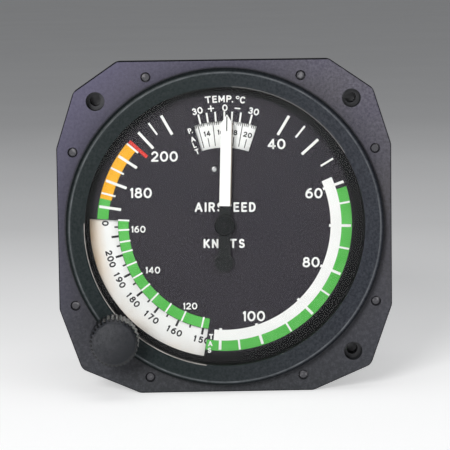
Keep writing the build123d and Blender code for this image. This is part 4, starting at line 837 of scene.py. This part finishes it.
for altitude in range(ALTITUDE_TOP + 1):
    angle = ALTITUDE_TOP_ANGLE - (ALTITUDE_TOP - altitude) * ALTITUDE_STEP
    numbered = altitude % 2 == 0
    scale.radial(angle, *(ALTITUDE_NUMBERED_TICK if numbered else ALTITUDE_LONG_TICK))
    for part in (0.25, 0.5, 0.75):
        scale.radial(angle + ALTITUDE_STEP * part, *ALTITUDE_SHORT_TICK)
    if numbered:
        scale.line_of_text(str(altitude), polar(angle, ALTITUDE_NUMBER_RADIUS), 1.32, angle, 0.28, 0.16)
scale.finish("scale_print", "tas_disc", MATERIALS["black_print"])

# Dark line on the pointer's tip
SLIT = (23.5, 27.1, 0.26)
slit = Print(POINTER_FACE)
slit.radial(POINTER_ANGLE, *SLIT)
slit.finish("pointer_slit", "pointer_group", MATERIALS["black_print"])

# Floor: pale, with a glow that fades away from the camera, as the photo's background does.
# From here on sizes are in metres.
FLOOR_HALF = 20.0
FLOOR_HEIGHT = CAD_BOX[0][2]
FLOOR_GLOW = [(0.0, 0.45), (0.09, 0.34), (0.36, 0.13), (0.95, 0.04)]

floor_mesh = bpy.data.meshes.new("floor")
floor_mesh.from_pydata(
    [(x * FLOOR_HALF, y * FLOOR_HALF, FLOOR_HEIGHT) for x, y in ((-1, -1), (1, -1), (1, 1), (-1, 1))],
    [],
    [(0, 1, 2, 3)],
)
floor = bpy.data.objects.new("floor", floor_mesh)
bpy.context.scene.collection.objects.link(floor)
floor_surface = Surface("plain_pale_floor", roughness=0.9, colour=(0.8, 0.8, 0.8))
floor_tone = floor_surface.spread(floor_surface.noise(120, 2.0), 0.0, 1.0)
floor_surface.colour(floor_surface.mixed(floor_tone, (0.84, 0.84, 0.84), (0.87, 0.87, 0.87)))
_, floor_depth, _ = floor_surface.axes()
floor_glow = floor_surface.ramp(floor_depth, [(depth, (grey, grey, grey)) for depth, grey in FLOOR_GLOW])
floor_surface.link(floor_glow, floor_surface.shader.inputs["Emission Color"])
floor_surface.shader.inputs["Emission Strength"].default_value = 1.0
floor_mesh.materials.append(floor_surface.material)

# Light: soft area lights by name, place, aim, size, watts and tint, and a dim world
AREA_LIGHTS = (
    ("key_light", (-0.42, -1.2, 0.45), (0, 0, 0), 0.4, 13.6, (1, 1, 1)),
    ("fill_light", (0.9, -0.9, 0.15), (0, 0, 0), 0.6, 2.2, (0.93, 0.96, 1.0)),
    ("overhead_light", (0.03, -0.16, 0.75), (0, -0.16, 0), 0.6, 1.1, (1, 1, 1)),
)
for name, place, aim, size, watts, tint in AREA_LIGHTS:
    lamp = bpy.data.lights.new(name, "AREA")
    lamp.size = size
    lamp.energy = watts
    lamp.color = tint
    lamp_object = bpy.data.objects.new(name, lamp)
    lamp_object.location = place
    lamp_object.rotation_euler = (Vector(aim) - Vector(place)).to_track_quat("-Z", "Y").to_euler()
    bpy.context.scene.collection.objects.link(lamp_object)

bpy.context.scene.view_settings.view_transform = "Standard"
world = bpy.data.worlds.new("studio")
bpy.context.scene.world = world
world.use_nodes = True
world.node_tree.nodes["Background"].inputs["Color"].default_value = (0.9, 0.92, 0.95, 1)
world.node_tree.nodes["Background"].inputs["Strength"].default_value = 0.18

# Camera at the photo's angle; its lens grows with the distance, so the object keeps its size
CAMERA_AZIMUTH = -1.2
CAMERA_ELEVATION = 6.5
CAMERA_ROLL = -0.76
CAMERA_DISTANCE = 0.6
CAMERA_LENS_PER_METRE = 324.4
CAMERA_TARGET = (0.0, 0.0, 0.52 * MM)

camera_data = bpy.data.cameras.new("camera")
camera_data.sensor_width = 36
camera_data.lens = CAMERA_LENS_PER_METRE * CAMERA_DISTANCE
camera_data.clip_start = 0.01
camera_data.clip_end = 100
camera = bpy.data.objects.new("camera", camera_data)
azimuth, elevation = radians(CAMERA_AZIMUTH), radians(CAMERA_ELEVATION)
toward = Vector((-sin(azimuth) * cos(elevation), cos(azimuth) * cos(elevation), -sin(elevation)))
camera.location = Vector(CAMERA_TARGET) - toward * CAMERA_DISTANCE
camera.rotation_euler = toward.to_track_quat("-Z", "Y").to_euler()
camera.rotation_euler.rotate_axis("Z", radians(CAMERA_ROLL))
bpy.context.scene.collection.objects.link(camera)
bpy.context.scene.camera = camera
